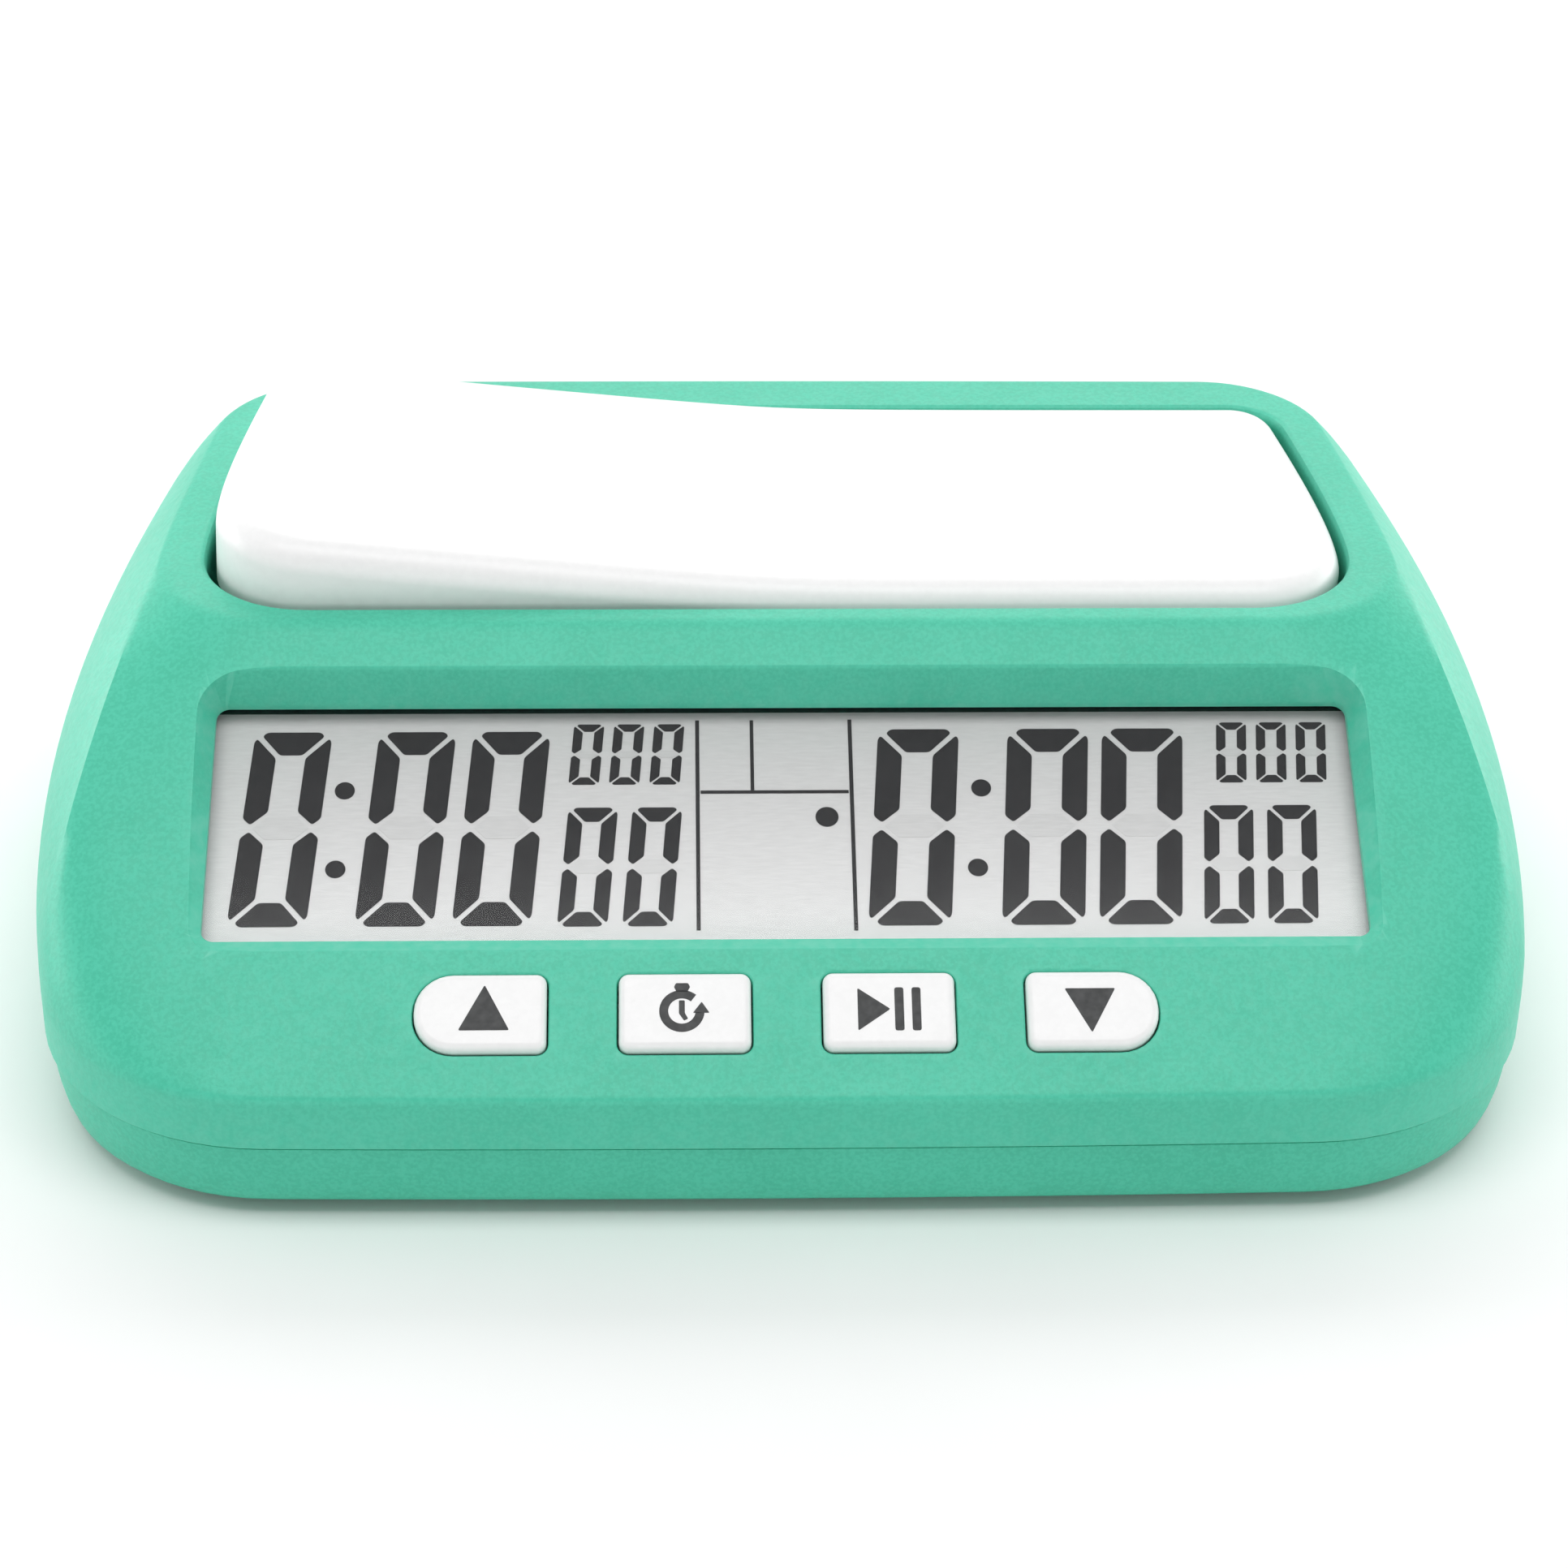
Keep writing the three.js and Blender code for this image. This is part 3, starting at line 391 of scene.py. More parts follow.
DISPLAY_HALF, DISPLAY_FRONT, DISPLAY_REAR = 58.6, -1.5, 28.5
FACE_THICKNESS = 0.9
DISPLAY_POCKET = 7.6


def display_plan(grow, radius):
    return rectangle(DISPLAY_HALF + grow, DISPLAY_FRONT - grow, DISPLAY_REAR + grow, radius)


def button_ring(i, grow):
    """Outline of a button, grown all round; the first and the last have one round end."""
    reach = BUTTON_LENGTH / 2 + grow

    def plan(radius):
        return outline(rectangle(BUTTON_WIDTH / 2 + grow, -reach, reach, radius + grow), PLAIN)
    outward = {0: -1, 3: 1}.get(i, 0)
    return [r if s[0] * outward > 0 else s for s, r in zip(plan(BUTTON_CORNER), plan(BUTTON_ROUND))]


# A button's hole, with a rounded mouth: (growth beyond the gap, height above the face).
BUTTON_HOLE = ((0, -6), (0, -0.3), (0.08, -0.1), (0.3, 0.02), (0.9, 2))


def button_hole(i):
    rings = [level(button_ring(i, BUTTON_GAP + grow), z) for grow, z in BUTTON_HOLE]
    return loft("button_hole", rings, button_frame(i))


def upper_shell():
    """The upper case, with the lever's well, the display window and the button holes."""
    tub = slab("tub", shrink(LEVER, -WELL_CLEARANCE - WELL_WALL), WELL_FLOOR_Z - WELL_WALL,
               RIM_Z + 1, FINE)
    surround = slab("surround", display_plan(2.2, 3), -FACE_THICKNESS, 20, PLAIN, WINDOW)
    hollow = combine(upper_inner(), [tub, surround])
    shell = combine(upper_outer(), [hollow, well_cutter(), recess_cutter()])
    window = slab("window", WINDOW_PLAN, -4, 0.01, FINE, WINDOW)
    pocket = slab("pocket", display_plan(1.9, 1.5), -DISPLAY_POCKET, -FACE_THICKNESS, PLAIN,
                  WINDOW)
    for cutter in (window, pocket):  # their walls get a black lining: a dark bezel, and painted shade inside the window
        cutter.data.materials.append(None)
        cutter.data.materials.append(black_lining_and_shade)
        for face in cutter.data.polygons:
            face.material_index = 1
    shell = combine(shell, [pocket, window, *[button_hole(i) for i in range(4)]])
    shade(shell)
    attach(shell, "case")
    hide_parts("upper_case")
    return shell


FLOOR_Z = FOOT_HEIGHT + WALL
# The outside of the tray, lowest first: (inset, height).
TRAY_PROFILE = ((2.9, FOOT_HEIGHT), (2.35, FOOT_HEIGHT + 0.08), (1.95, FOOT_HEIGHT + 0.35),
                (1.4, 2.2), (1.1, 3.2), (0.82, 4.6), (0.6, 6.4), (0.47, 8.0), (0.4, 8.6),
                (0.42, PARTING_Z - 0.17), (0.55, PARTING_Z - 0.1))
LIP_INSET, LIP_RISE = 1.3, 1.4
CASE_SCREWS = ((-57, -41.5), (57, -41.5), (-62, 30), (62, 30))
BOSS_RADIUS = 4.2
SCREW_HOLE_RADIUS = 1.6
COUNTERBORE_TOP = 5.2
COUNTERBORE_RADIUS = 3.2
FEET = ((-62, -27), (62, -27), (-55, 41), (55, 41))
FOOT_SEAT_RADIUS, FOOT_SEAT_DEPTH = 5.3, 0.9
BAY_HALF, BAY_Y, BAY_DEPTH, BAY_ROOF, BAY_WALL = 29.5, 14, 8.2, 18.9, 1.6
DOOR_HALF, DOOR_DEPTH, DOOR_TOP, DOOR_CORNER = 33.4, 10.2, 2.4, 2.5
THUMB_NOTCH_RADIUS = 5
KNOB_X, KNOB_Y, KNOB_TRAVEL = 50, 14, 3
KNOB_POCKET = rectangle(6, -3.4, 3.4, 1.5)
KNOB_POCKET_DEPTH = 1.2
KNOB_SLOT = (1.4, 1.1)
BUZZER = (-50, 12)
SOUND_HOLES = ((0, 0), (3, 0), (-3, 0), (0, 3), (0, -3))
SOUND_HOLE_RADIUS = 0.8


def lower_shell():
    """The tray, with its lip, cell bay, bosses and openings."""
    body = loft("lower_shell", [belt_ring(inset, z) for inset, z in TRAY_PROFILE])
    lip = loft("lip", [belt_ring(LIP_INSET, z) for z in (FLOOR_Z, PARTING_Z + LIP_RISE)])
    pocket = loft("pocket", [belt_ring(WALL + 0.1, FLOOR_Z), belt_ring(WALL + 0.1, PARTING_Z + 5)])
    body = combine(combine(body, [lip], "UNION"), [pocket])
    bay = block("bay", (-BAY_HALF - BAY_WALL, BAY_HALF + BAY_WALL),
                (BAY_Y - BAY_DEPTH - BAY_WALL, BAY_Y + BAY_DEPTH + BAY_WALL),
                (FLOOR_Z - 1, BAY_ROOF + BAY_WALL))
    bosses = [rod("boss", x, y, BOSS_RADIUS, FLOOR_Z - 1, PARTING_Z - 0.1) for x, y in CASE_SCREWS]
    body = combine(body, [bay, *bosses], "UNION")
    door = rectangle(DOOR_HALF + DOOR_GAP, BAY_Y - DOOR_DEPTH - DOOR_GAP,
                     BAY_Y + DOOR_DEPTH + DOOR_GAP, DOOR_CORNER)
    holes = [
        block("cell_bay", (-BAY_HALF, BAY_HALF), (BAY_Y - BAY_DEPTH, BAY_Y + BAY_DEPTH),
              (0, BAY_ROOF)),
        slab("door_seat", door, 0, DOOR_TOP + 0.15),
        rod("thumb_notch", DOOR_HALF - 1, BAY_Y, THUMB_NOTCH_RADIUS, 0, DOOR_TOP - 0.2),
        slab("knob_pocket", KNOB_POCKET, 0, FOOT_HEIGHT + KNOB_POCKET_DEPTH, PLAIN,
             Matrix.Translation((KNOB_X + KNOB_TRAVEL / 2, KNOB_Y, 0))),
        block("knob_slot", (KNOB_X - KNOB_SLOT[0], KNOB_X + KNOB_TRAVEL + KNOB_SLOT[0]),
              (KNOB_Y - KNOB_SLOT[1], KNOB_Y + KNOB_SLOT[1]), (0, FLOOR_Z + 1.6)),
    ]
    for x, y in CASE_SCREWS:
        mouth = COUNTERBORE_RADIUS + 0.3
        holes.append(turned("counterbore", x, y, [
            (mouth, 0), (mouth, FOOT_HEIGHT - 0.02),
            (COUNTERBORE_RADIUS, FOOT_HEIGHT + 0.25), (COUNTERBORE_RADIUS, COUNTERBORE_TOP)]))
        holes.append(rod("screw_hole", x, y, SCREW_HOLE_RADIUS, COUNTERBORE_TOP - 0.2,
                         PARTING_Z + 1))
    for x, y in FEET:
        holes.append(rod("foot_seat", x, y, FOOT_SEAT_RADIUS, 0, FOOT_HEIGHT + FOOT_SEAT_DEPTH))
    for dx, dy in SOUND_HOLES:
        holes.append(rod("sound_hole", BUZZER[0] + dx, BUZZER[1] + dy, SOUND_HOLE_RADIUS, 0,
                         FLOOR_Z + 1.6))
    for hole in holes:
        combine(body, [hole])
    shade(body)
    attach(body, "case")
    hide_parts("lower_case")
    return body


# ---------- lever ----------
LEVER_WALL, LEVER_SKIN = 1.8, 2
LEVER_BEND = 8  # rounds the valley where the two halves of the top meet


def lever_top(x):
    return LEVER_TOP_Z + math.tan(LEVER_TILT) * (math.hypot(x, LEVER_BEND) - LEVER_BEND)


def lever_form(name, inset, drop, bottom, place):
    """The lever's solid form, made smaller by an inset at its sides and a drop of its top."""
    edge = LEVER_EDGE - inset / 2

    def ring(by, below):
        return [(x, y, lever_top(x) - drop - below) for x, y in outline(shrink(LEVER, inset + by))]
    rings = [level(outline(shrink(LEVER, inset)), bottom)]
    rings += [ring(by, below) for by, below in quarter_turn(edge, 10)]
    return loft(name, rings, place)


def lever():
    """The see-saw lever; it rests with its right side pressed."""
    pivot = Matrix.Translation(LEVER_PIVOT)
    rest = pivot @ Matrix.Rotation(LEVER_TILT, 4, "Y") @ pivot.inverted()
    cap = lever_form("lever_cap", 0, 0, LEVER_BOTTOM_Z, rest)
    combine(cap, [lever_form("lever_inside", LEVER_WALL, LEVER_SKIN, LEVER_BOTTOM_Z - 1, rest)])
    shade(cap)
    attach(cap, "rocker")
    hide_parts("rocker")
    return cap


# ---------- buttons ----------
def button_cap(i):
    """One button, with a rounded edge round its top."""
    rings = [level(button_ring(i, 0), BUTTON_SKIRT_Z)]
    rings += [level(button_ring(i, -inset), BUTTON_PROUD - drop)
              for inset, drop in quarter_turn(BUTTON_EDGE, 8)]
    cap = shade(loft(f"button_cap_{BUTTONS[i]}", rings, button_frame(i)))
    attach(cap, f"button_{BUTTONS[i]}")
    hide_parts(f"button_{BUTTONS[i]}")
    return cap


def arc(radius, start, end, steps, centre=(0, 0)):
    """Points of an arc; angles in degrees."""
    angles = [math.radians(lerp(start, end, i / steps)) for i in range(steps + 1)]
    return [(centre[0] + radius * math.cos(a), centre[1] + radius * math.sin(a)) for a in angles]


def prisms(name, shapes, z0, z1, place):
    """Thin flat plates, one for each closed outline, as a single object."""
    vertices, faces = [], []
    for shape in shapes:
        base, count = len(vertices), len(shape)
        vertices += level(shape, z0) + level(shape, z1)
        faces.append(tuple(reversed(range(base, base + count))))
        faces.append(tuple(range(base + count, base + 2 * count)))
        for i in range(count):
            j = (i + 1) % count
            faces.append((base + i, base + j, base + count + j, base + count + i))
    return piece(name, vertices, faces, place)


def band(path, width):
    """An open line of points given a width."""
    left, right = [], []
    for i, (x, y) in enumerate(path):
        ahead = Vector(path[min(i + 1, len(path) - 1)]) - Vector(path[max(i - 1, 0)])
        side = Vector((-ahead.y, ahead.x)).normalized() * width / 2
        left.append((x + side.x, y + side.y))
        right.append((x - side.x, y - side.y))
    return right + left[::-1]


def soften_corners(shape, radius, steps=3):
    """Replaces every corner of a counterclockwise outline by a small curve."""
    points = []
    for i, corner in enumerate(shape):
        tip = Vector(corner)
        back = Vector(shape[i - 1]) - tip
        ahead = Vector(shape[(i + 1) % len(shape)]) - tip
        start = tip + back.normalized() * min(radius, back.length / 2.1)
        end = tip + ahead.normalized() * min(radius, ahead.length / 2.1)
        points += bezier(start, tip, end, steps)
    return points


def box_shape(x0, x1, y0, y1, radius):
    return soften_corners([(x0, y0), (x1, y0), (x1, y1), (x0, y1)], radius)


def icon_shapes():
    """The symbols' outlines, about the middle of a button; the timer is a ring with an arrow."""
    ring = band(arc(1.74, 50, 355, 40, (-0.3, -0.1)), 0.86)
    return {
        "up": [soften_corners([(-2.05, -1.98), (2.83, -1.98), (0.42, 2.72)], 0.2)],
        "timer": [
            ring,
            soften_corners([(-0.8, 1.9), (0.25, 1.9), (0.5, 2.4), (0.3, 2.8), (-0.85, 2.8),
                            (-1.05, 2.4)], 0.12),
            soften_corners([(0.75, -0.3), (2.35, -0.3), (1.6, 0.85)], 0.12),
            soften_corners([(-0.58, -0.35), (-0.1, -1.1), (0.3, -0.9), (-0.02, -0.3),
                            (-0.02, 1.0), (-0.58, 1.0)], 0.1),
        ],
        "start": [
            soften_corners([(-3.05, -2.24), (0.09, 0), (-3.05, 2.2)], 0.2),
            box_shape(0.5, 1.38, -2.24, 2.24, 0.25),
            box_shape(2.16, 3.02, -2.24, 2.24, 0.25),
        ],
        "down": [soften_corners([(-0.24, -2.55), (2.2, 2.05), (-2.7, 2.05)], 0.2)],
    }


ICON_HALF_THICKNESS = 0.02


def icon(i):
    """The printed symbol of one button."""
    mark = prisms(f"icon_{BUTTONS[i]}", icon_shapes()[BUTTONS[i]],
                  BUTTON_PROUD - ICON_HALF_THICKNESS, BUTTON_PROUD + ICON_HALF_THICKNESS,
                  button_frame(i))
    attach(mark, f"button_{BUTTONS[i]}")
    return mark


# ---------- display ----------
GLASS_TOP = -2.3
FILM = (GLASS_TOP + 0.01, GLASS_TOP + 0.05)
GHOST_FILM = (GLASS_TOP + 0.01, GLASS_TOP + 0.03)
SLANT = 0.074
# Widths and heights of the figures.
BIG, BIG_RIGHT, MIDDLE, SMALL = (7.75, 22.5), (8.2, 22.8), (4.95, 13.6), (3.05, 7.15)
# Lower left corners of the figures, in the window's frame.
FIGURES = {
    BIG: [(x, 2.9) for x in (-54.85, -42.4, -32.9)],
    BIG_RIGHT: [(x, 2.75) for x in (7.95, 21.1, 30.7)],
    MIDDLE: [(x, 2.8) for x in (-22.6, -16.2, 41.08, 47.42)],
    SMALL: [(x, 19.1) for x in (-21.65, -17.6, -13.55, 43.55, 47.6, 51.65)],
}
COLONS = ((-43.95, 18.5), (-44.5, 9.4), (19.78, 18.56), (19.04, 9.3))
COLON_RADIUS = 1.0
MODE_DOT = (4.2, 15.23)
MODE_DOT_RADIUS = 1.15
SEGMENT_CORNER = 0.3
# The dividing lines, and a dark strip along the top that is a painted shadow of the window's top
# lip: (left, right, bottom, top).
RULES_AND_LIP_SHADOW = [(-8.9, -8.5, 2.3, 26.7), (-3.38, -3.02, 18.4, 26.7), (-8.4, 6.45, 18.0, 18.36),
         (6.55, 6.95, 2.2, 26.75), (-58, 58, 27.6, 28.4)]


def figure_segments():
    """The six lit bars of a zero, on a big figure upright at the origin."""
    width, height = BIG
    middle = height / 2
    post = [(0, middle + 1.15), (0.8, middle + 0.4), (2.4, middle + 1.9), (2.4, height - 3.1),
            (0.25, height - 0.75), (0, height - 1.2)]
    cap = [(0.75, height - 0.45), (2.75, height - 2.7), (width - 2.75, height - 2.7),
           (width - 0.75, height - 0.45), (width - 1.2, height), (1.2, height)]

    def across(shape):
        return [(width - x, y) for x, y in reversed(shape)]

    def down(shape):
        return [(x, height - y) for x, y in reversed(shape)]
    return [cap, down(cap), post, across(post), down(post), down(across(post))]


def figure_ghost():
    """The unlit middle bar of a zero."""
    width, height = BIG
    middle = height / 2
    return [(1.1, middle), (2.4, middle - 1.3), (width - 2.4, middle - 1.3),
            (width - 1.1, middle), (width - 2.4, middle + 1.3), (2.4, middle + 1.3)]


def set_figures(shapes):
    """The shapes of one big figure, placed and scaled as every figure of the display."""
    placed = []
    for (width, height), corners in FIGURES.items():
        sx, sy = width / BIG[0], height / BIG[1]
        for x0, y0 in corners:
            placed += [[(x0 + x * sx + SLANT * y * sy, y0 + y * sy) for x, y in shape]
                       for shape in shapes]
    return placed


def disc(centre, radius, sides=40):
    return arc(radius, 0, 360 - 360 / sides, sides - 1, centre)


def display():
    """The display's figures, dividing lines with a painted shadow strip under the window's top lip,
    and unlit bars.
    """
    lit = set_figures([soften_corners(shape, SEGMENT_CORNER) for shape in figure_segments()])
    lit += [disc(centre, COLON_RADIUS) for centre in COLONS] + [disc(MODE_DOT, MODE_DOT_RADIUS)]
    figures = prisms("display_figures", lit, *FILM, WINDOW)
    # The last rule is not print but a painted shadow under the window's top lip.
    rules_and_lip_shadow = prisms("display_rules_and_lip_shadow", [box_shape(*rule, 0.03) for rule in RULES_AND_LIP_SHADOW], *FILM, WINDOW)
    ghosts = prisms("display_ghosts", set_figures([figure_ghost()]), *GHOST_FILM, WINDOW)
    for shown in (figures, rules_and_lip_shadow, ghosts):
        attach(shown, "case")
    return figures, rules_and_lip_shadow, ghosts


# ---------- materials ----------
class Nodes:
    """A short way to build one material's node tree."""

    def __init__(self, name):
        self.material = bpy.data.materials.new(name)
        self.material.use_nodes = True
        self.tree = self.material.node_tree
        self.shader = self.tree.nodes["Principled BSDF"]
        self.where = self.add("ShaderNodeTexCoord").outputs["Object"]

    def add(self, kind, **settings):
        node = self.tree.nodes.new(kind)
        for key, value in settings.items():
            if key in node.inputs:
                node.inputs[key].default_value = value
            else:
                setattr(node, key, value)
        return node

    def link(self, output, node, socket):
        self.tree.links.new(output, node.inputs[socket])
        return node

    def noise(self, size, detail=2.0, stretch=None):
        """Noise whose features are about size millimetres across."""
        node = self.add("ShaderNodeTexNoise", Scale=1 / (size * MM), Detail=detail)
        where = self.where
        if stretch:
            scaled = self.add("ShaderNodeMapping")
            scaled.inputs["Scale"].default_value = stretch
            where = self.link(where, scaled, "Vector").outputs["Vector"]
        return self.link(where, node, "Vector").outputs["Fac"]

    def ramp(self, value, low, high, start=0.3, end=0.7):
        """Runs from the low colour to the high one as the value goes from start to end."""
        node = self.add("ShaderNodeValToRGB")
        for element, at, colour in zip(node.color_ramp.elements, (start, end), (low, high)):
            element.position = at
            element.color = (*colour, 1)
        return self.link(value, node, "Fac").outputs["Color"]

    def span(self, value, low, high, start=0.3, end=0.7):
        """Runs from low to high as the value goes from start to end."""
        node = self.add("ShaderNodeMapRange")
        limits = {"From Min": start, "From Max": end, "To Min": low, "To Max": high}
        for key, number in limits.items():
            node.inputs[key].default_value = number
        return self.link(value, node, "Value").outputs["Result"]

    def mix(self, factor, a, b):
        node = self.add("ShaderNodeMix", data_type="RGBA")
        self.link(factor, node, 0)
        self.link(a, node, 6)
        self.link(b, node, 7)
        return node.outputs[2]

    def bump(self, height, depth):
        """Small relief, its depth in millimetres."""
        node = self.add("ShaderNodeBump", Distance=depth * MM, Strength=1.0)
        self.link(height, node, "Height")
        self.link(node.outputs["Normal"], self.shader, "Normal")

    def edges(self):
        """1 on convex edges, 0 elsewhere."""
        return self.span(self.add("ShaderNodeNewGeometry").outputs["Pointiness"], 0, 1, 0.51, 0.58)


def moulded(name, dark, light, roughness, grain=0.35, depth=0.012, worn=None):
    """Moulded plastic: slow shade changes, a fine eroded grain, and rubbed edges."""
    nodes = Nodes(name)
    colour = nodes.ramp(nodes.noise(9, 4), dark, light)
    speckle = nodes.ramp(nodes.noise(grain * 1.5), dark, light, 0.42, 0.58)
    flecks = nodes.span(nodes.noise(grain), 0.3, 0.9)
    colour = nodes.mix(flecks, colour, speckle)
    if worn:
        rubbed = nodes.ramp(nodes.noise(1.2), light, worn)
        colour = nodes.mix(nodes.edges(), colour, rubbed)
    nodes.link(colour, nodes.shader, "Base Color")
    shine = nodes.span(nodes.noise(grain * 3), roughness - 0.05, roughness + 0.05)
    nodes.link(shine, nodes.shader, "Roughness")
    nodes.bump(nodes.noise(grain, 3), depth)
    return nodes.material


def brushed_metal(name, dark, light, roughness):
    """Plated metal, a little uneven."""
    nodes = Nodes(name)
    colour = nodes.ramp(nodes.noise(0.6, 4, (1, 1, 6)), dark, light)
    nodes.link(colour, nodes.shader, "Base Color")
    nodes.shader.inputs["Metallic"].default_value = 1
    shine = nodes.span(nodes.noise(0.3), roughness - 0.08, roughness + 0.08)
    nodes.link(shine, nodes.shader, "Roughness")
    nodes.bump(nodes.noise(0.15), 0.004)
    return nodes.material


def display_ground(name, tone):
    """Grey of the display: a fine grain in level lines, with painted shade that darkens it to the
    rear and a painted sheen that lightens its front; tone scales it.
    """
    nodes = Nodes(name)
    lines = nodes.noise(0.25, 3, (0.15, 1, 1))
    axes = nodes.link(nodes.where, nodes.add("ShaderNodeSeparateXYZ"), 0)
    # Painted light: lighter to the front for the lens's reflection, darker to the rear for the
    # shade of the recess's top wall.
    painted_shade_to_rear = nodes.span(axes.outputs["Y"], 0, 1, -37 * MM, -12 * MM)
    front = nodes.ramp(lines, (0.79 * tone,) * 3, (0.87 * tone,) * 3)
    rear = nodes.ramp(lines, (0.54 * tone,) * 3, (0.59 * tone,) * 3)
    nodes.link(nodes.mix(painted_shade_to_rear, front, rear), nodes.shader, "Base Color")
    nodes.link(nodes.span(lines, 0.45, 0.6), nodes.shader, "Roughness")
    return nodes.material


def printed(name, dark, light):
    """Ink or liquid crystal, a little uneven."""
    nodes = Nodes(name)
    colour = nodes.ramp(nodes.noise(0.8, 3), dark, light)
    nodes.link(colour, nodes.shader, "Base Color")
    nodes.link(nodes.span(nodes.noise(0.2), 0.45, 0.6), nodes.shader, "Roughness")
    nodes.shader.inputs["Specular IOR Level"].default_value = 0.15
    return nodes.material


def clear_lens():
    """A thin clear sheet: what is behind shows through, with a soft sheen on its outside."""
    nodes = Nodes("clear lens")
    gloss = nodes.add("ShaderNodeBsdfGlossy")
    nodes.link(nodes.span(nodes.noise(3), 0.11, 0.14), gloss, "Roughness")
    through = nodes.add("ShaderNodeBsdfTransparent")
    mixed = nodes.add("ShaderNodeMixShader")
    fresnel = nodes.add("ShaderNodeFresnel", IOR=1.5)
    side = nodes.add("ShaderNodeNewGeometry").outputs["Backfacing"]
    outside = nodes.add("ShaderNodeMath", operation="MULTIPLY")
    nodes.link(fresnel.outputs["Fac"], outside, 0)
    nodes.link(nodes.span(side, 1, 0, 0, 1), outside, 1)
    nodes.link(outside.outputs["Value"], mixed, 0)
    nodes.link(through.outputs["BSDF"], mixed, 1)
    nodes.link(gloss.outputs["BSDF"], mixed, 2)
    nodes.link(mixed.outputs["Shader"], nodes.tree.nodes["Material Output"], "Surface")
    return nodes.material


def circuit_board():
    """Solder mask with a faint weave."""
    nodes = Nodes("circuit board")
    weave = nodes.noise(0.5, 2, (1, 0.2, 1))
    colour = nodes.ramp(weave, (0.01, 0.10, 0.03), (0.02, 0.16, 0.05))
    nodes.link(colour, nodes.shader, "Base Color")
    nodes.link(nodes.span(nodes.noise(1.5), 0.3, 0.45), nodes.shader, "Roughness")
    nodes.bump(weave, 0.01)
    return nodes.material


# Painted shade: a near-black, almost unreflecting finish on the window's walls, darker than a lit
# wall would be; it also serves the LCD's black frame.
black_lining_and_shade = moulded("black lining and painted shade", (0.001, 0.001, 0.001), (0.003, 0.003, 0.003), 0.9)
black_lining_and_shade.node_tree.nodes["Principled BSDF"].inputs["Specular IOR Level"].default_value = 0.05
MINT = dict(dark=(0.047, 0.475, 0.312), light=(0.068, 0.550, 0.378), roughness=0.48, grain=0.3,
            depth=0.02)
mint = moulded("mint plastic", **MINT, worn=(0.12, 0.58, 0.42))
mint_tray = moulded("mint tray", **MINT)
white = moulded("white plastic", (0.825, 0.825, 0.825), (0.85, 0.85, 0.85), 0.36, 0.5, 0.003,
                (0.90, 0.90, 0.90))
black = moulded("black plastic", (0.010, 0.010, 0.011), (0.022, 0.022, 0.024), 0.45,
                worn=(0.05, 0.05, 0.052))
rubber = moulded("grey rubber", (0.030, 0.032, 0.033), (0.055, 0.057, 0.060), 0.8, 0.25, 0.02,
                 (0.09, 0.09, 0.095))
sleeve = moulded("cell sleeve", (0.010, 0.09, 0.30), (0.014, 0.12, 0.38), 0.3, 1.0, 0.003)
red = moulded("red lead", (0.35, 0.010, 0.010), (0.45, 0.016, 0.014), 0.4)
steel = brushed_metal("bright steel", (0.42, 0.43, 0.44), (0.62, 0.63, 0.64), 0.28)
ground = display_ground("display ground", 1)
ink = printed("display ink", (0.010, 0.010, 0.012), (0.016, 0.016, 0.018))
faint = display_ground("unlit figure", 0.93)
icon_ink = printed("icon ink", (0.055, 0.057, 0.058), (0.085, 0.087, 0.088))
lens = clear_lens()
board = circuit_board()


def dress(obj, finish):
    """Gives a piece or CAD node its material; a black lining of painted shade that it has already
    stays.
    """
    if len(obj.data.materials) > 1:
        obj.data.materials[0] = finish
        return obj
    obj.data.materials.clear()
    obj.data.materials.append(finish)
    return obj


NODE_FINISH = {
    "lens": lens, "lcd_glass": ground, "lcd_frame": black_lining_and_shade, "zebra_strip": rubber,
    "main_board": board, "rocker_board": board, "epoxy_chip": black, "crystal": steel,
    "capacitor": black, "battery_cell": sleeve, "contact": steel, "rocker_axle": steel,
    "power_switch": black, "buzzer": black, "rocker_switch": black, "button_switch": black,
    "rocker_bumper": rubber, "board_screw": steel, "rocker_board_screw": steel,
    "case_screw": steel, "foot": rubber, "power_knob": black, "battery_door": mint_tray,
    "battery_lead_red": red, "battery_lead_black": black, "switch_lead": black,
    "buzzer_lead": black, "rocker_lead": black,
}


def finish_of(node):
    """The finish of a CAD node: the longest name in the list that its own name starts with."""
    return NODE_FINISH[max((key for key in NODE_FINISH if node.startswith(key)), key=len)]


def build():
    """Makes every visible piece and gives all of them, and the bare CAD nodes, their finish."""
    dress(upper_shell(), mint)
    dress(lower_shell(), mint_tray)
    dress(lever(), white)
    for i in range(len(BUTTONS)):
        dress(button_cap(i), white)
        dress(icon(i), icon_ink)
    figures, rules_and_lip_shadow, ghosts = display()
    dress(figures, ink)
    dress(rules_and_lip_shadow, ink)
    dress(ghosts, faint)
    # Nodes that get small radii on their edges: the body they ride and the radius.
    softened = {"battery_door": ("battery_door", 0.25), "power_knob": ("power_knob", 0.15)}
    for i in range(1, len(FEET) + 1):
        softened[f"foot_{i}"] = ("case", 0.25)
        softened[f"case_screw_{i}"] = ("case", 0.12)
    for node, (body, width) in softened.items():
        made = refine(node, body, width)
        dress(made, finish_of(node))
    for node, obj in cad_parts.items():
        if not obj.hide_render:
            dress(obj, finish_of(node))


# ---------- studio ----------
FLOOR_HALF = 3000
FLOOR_DROP = 0.02


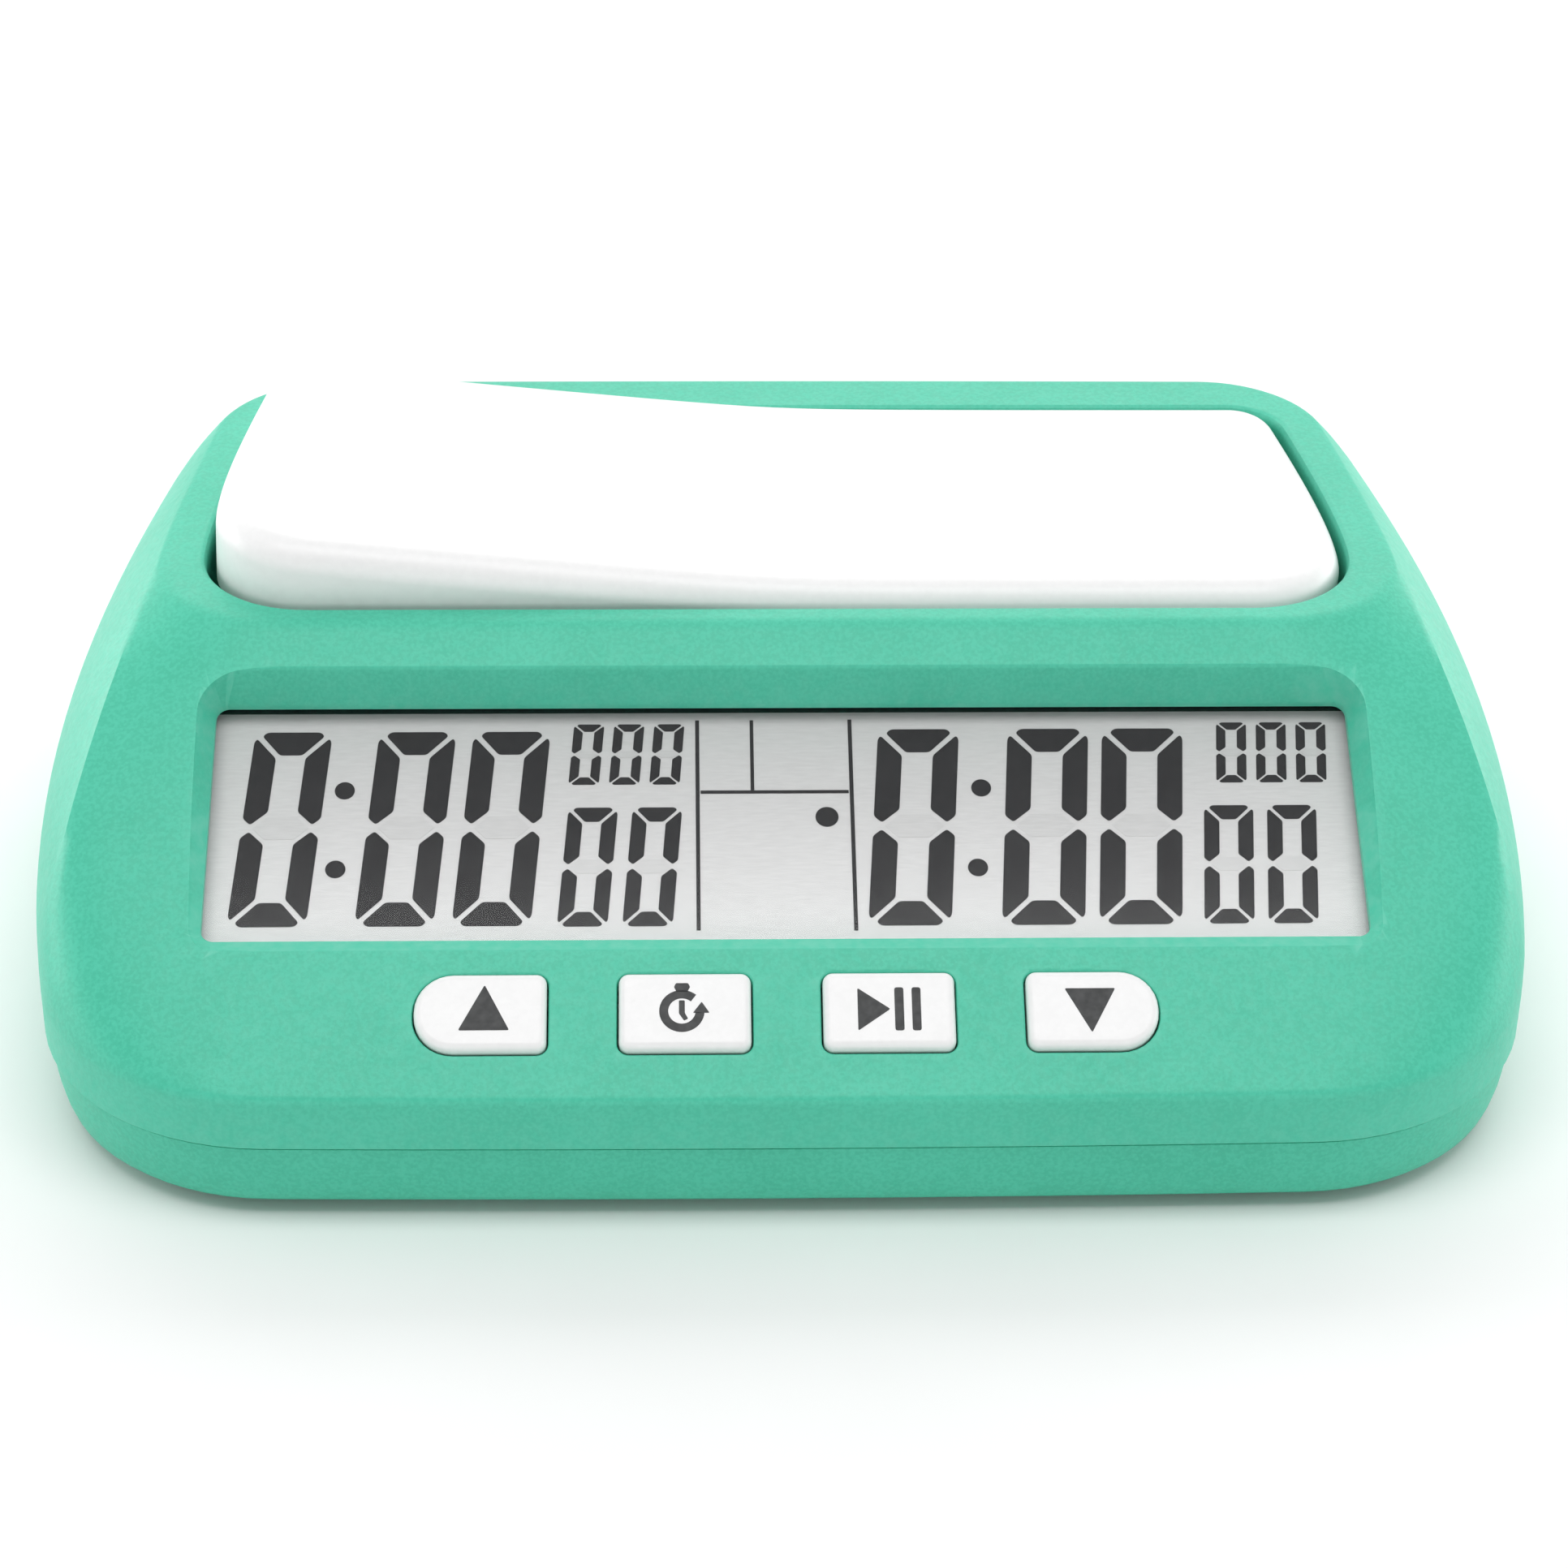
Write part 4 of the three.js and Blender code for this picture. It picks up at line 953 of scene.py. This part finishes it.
def floor():
    """A wide pale sheet, a hair below the feet."""
    corners = ((-1, -1), (1, -1), (1, 1), (-1, 1))
    sheet = piece("floor", [(x * FLOOR_HALF, y * FLOOR_HALF, -FLOOR_DROP) for x, y in corners],
                  [(0, 1, 2, 3)])
    paper = Nodes("pale floor")
    tone = paper.ramp(paper.noise(30, 3), (0.88, 0.88, 0.88), (0.9, 0.9, 0.9))
    paper.link(tone, paper.shader, "Base Color")
    paper.shader.inputs["Roughness"].default_value = 0.9
    sheet.data.materials.append(paper.material)


def soft_box(name, place, aim, size, power):
    """A rectangular light; place, aim and size are in metres, power in watts."""
    light = bpy.data.lights.new(name, "AREA")
    light.shape = "RECTANGLE"
    light.size, light.size_y = size
    light.energy = power
    lamp = bpy.data.objects.new(name, light)
    bpy.context.scene.collection.objects.link(lamp)
    lamp.location = place
    lamp.rotation_euler = (Vector(aim) - Vector(place)).to_track_quat("-Z", "Y").to_euler()


def sky():
    """A pale room that is a little dimmer on the display's side."""
    world = bpy.data.worlds.new("studio")
    bpy.context.scene.world = world
    world.use_nodes = True
    tree = world.node_tree
    direction = tree.nodes.new("ShaderNodeTexCoord")
    axes = tree.nodes.new("ShaderNodeSeparateXYZ")
    strength = tree.nodes.new("ShaderNodeMapRange")
    limits = {"From Min": -0.7, "From Max": 0.5, "To Min": 0.36, "To Max": 0.5}
    for key, number in limits.items():
        strength.inputs[key].default_value = number
    tree.links.new(direction.outputs["Generated"], axes.inputs["Vector"])
    tree.links.new(axes.outputs["Y"], strength.inputs["Value"])
    background = tree.nodes["Background"]
    background.inputs["Color"].default_value = (1, 1, 1, 1)
    tree.links.new(strength.outputs["Result"], background.inputs["Strength"])


def studio():
    """Floor, sky and soft lights."""
    floor()
    sky()
    soft_box("front top", (0, -0.175, 0.8), (0, -0.175, 0), (0.9, 0.36), 3.7)
    soft_box("rear", (0, 0.72, 0.52), (0, 0, 0.03), (1.2, 0.5), 3.4)
    soft_box("front low", (0, -0.9, 0.2), (0, 0, 0), (1.2, 0.3), 1.6)
    for side in (-1, 1):
        soft_box("rim", (side * 0.55, 0.24, 0.12), (0, 0, 0.03), (0.6, 0.24), 1.75)
    bpy.context.scene.view_settings.view_transform = "Standard"


CAMERA_PLACE = (-11.2329, -335.2838, 228.029)
CAMERA_PITCH, CAMERA_YAW, CAMERA_ROLL = 32.0, 2.021, 0.855
FRAME_WIDTH, FOCAL_LENGTH = 1932, 4600  # in the same unit
SENSOR_WIDTH = 36


def camera():
    """The camera, aimed down by its pitch, to the right by its yaw, and rolled about its axis."""
    pitch, yaw, roll = (math.radians(a) for a in (CAMERA_PITCH, CAMERA_YAW, CAMERA_ROLL))
    optics = bpy.data.cameras.new("camera")
    optics.sensor_width = SENSOR_WIDTH
    optics.lens = SENSOR_WIDTH * FOCAL_LENGTH / FRAME_WIDTH
    optics.clip_start = 0.01
    eye = bpy.data.objects.new("camera", optics)
    bpy.context.scene.collection.objects.link(eye)
    ahead = Vector((math.sin(yaw) * math.cos(pitch), math.cos(yaw) * math.cos(pitch),
                    -math.sin(pitch)))
    right = Vector((math.cos(yaw), -math.sin(yaw), 0))
    up = right.cross(ahead)
    turned_right = right * math.cos(roll) + up * math.sin(roll)
    turned_up = up * math.cos(roll) - right * math.sin(roll)
    axes = Matrix((turned_right, turned_up, -ahead)).transposed()
    eye.matrix_world = Matrix.Translation(Vector(CAMERA_PLACE) * MM) @ axes.to_4x4()
    bpy.context.scene.camera = eye


build()
studio()
camera()
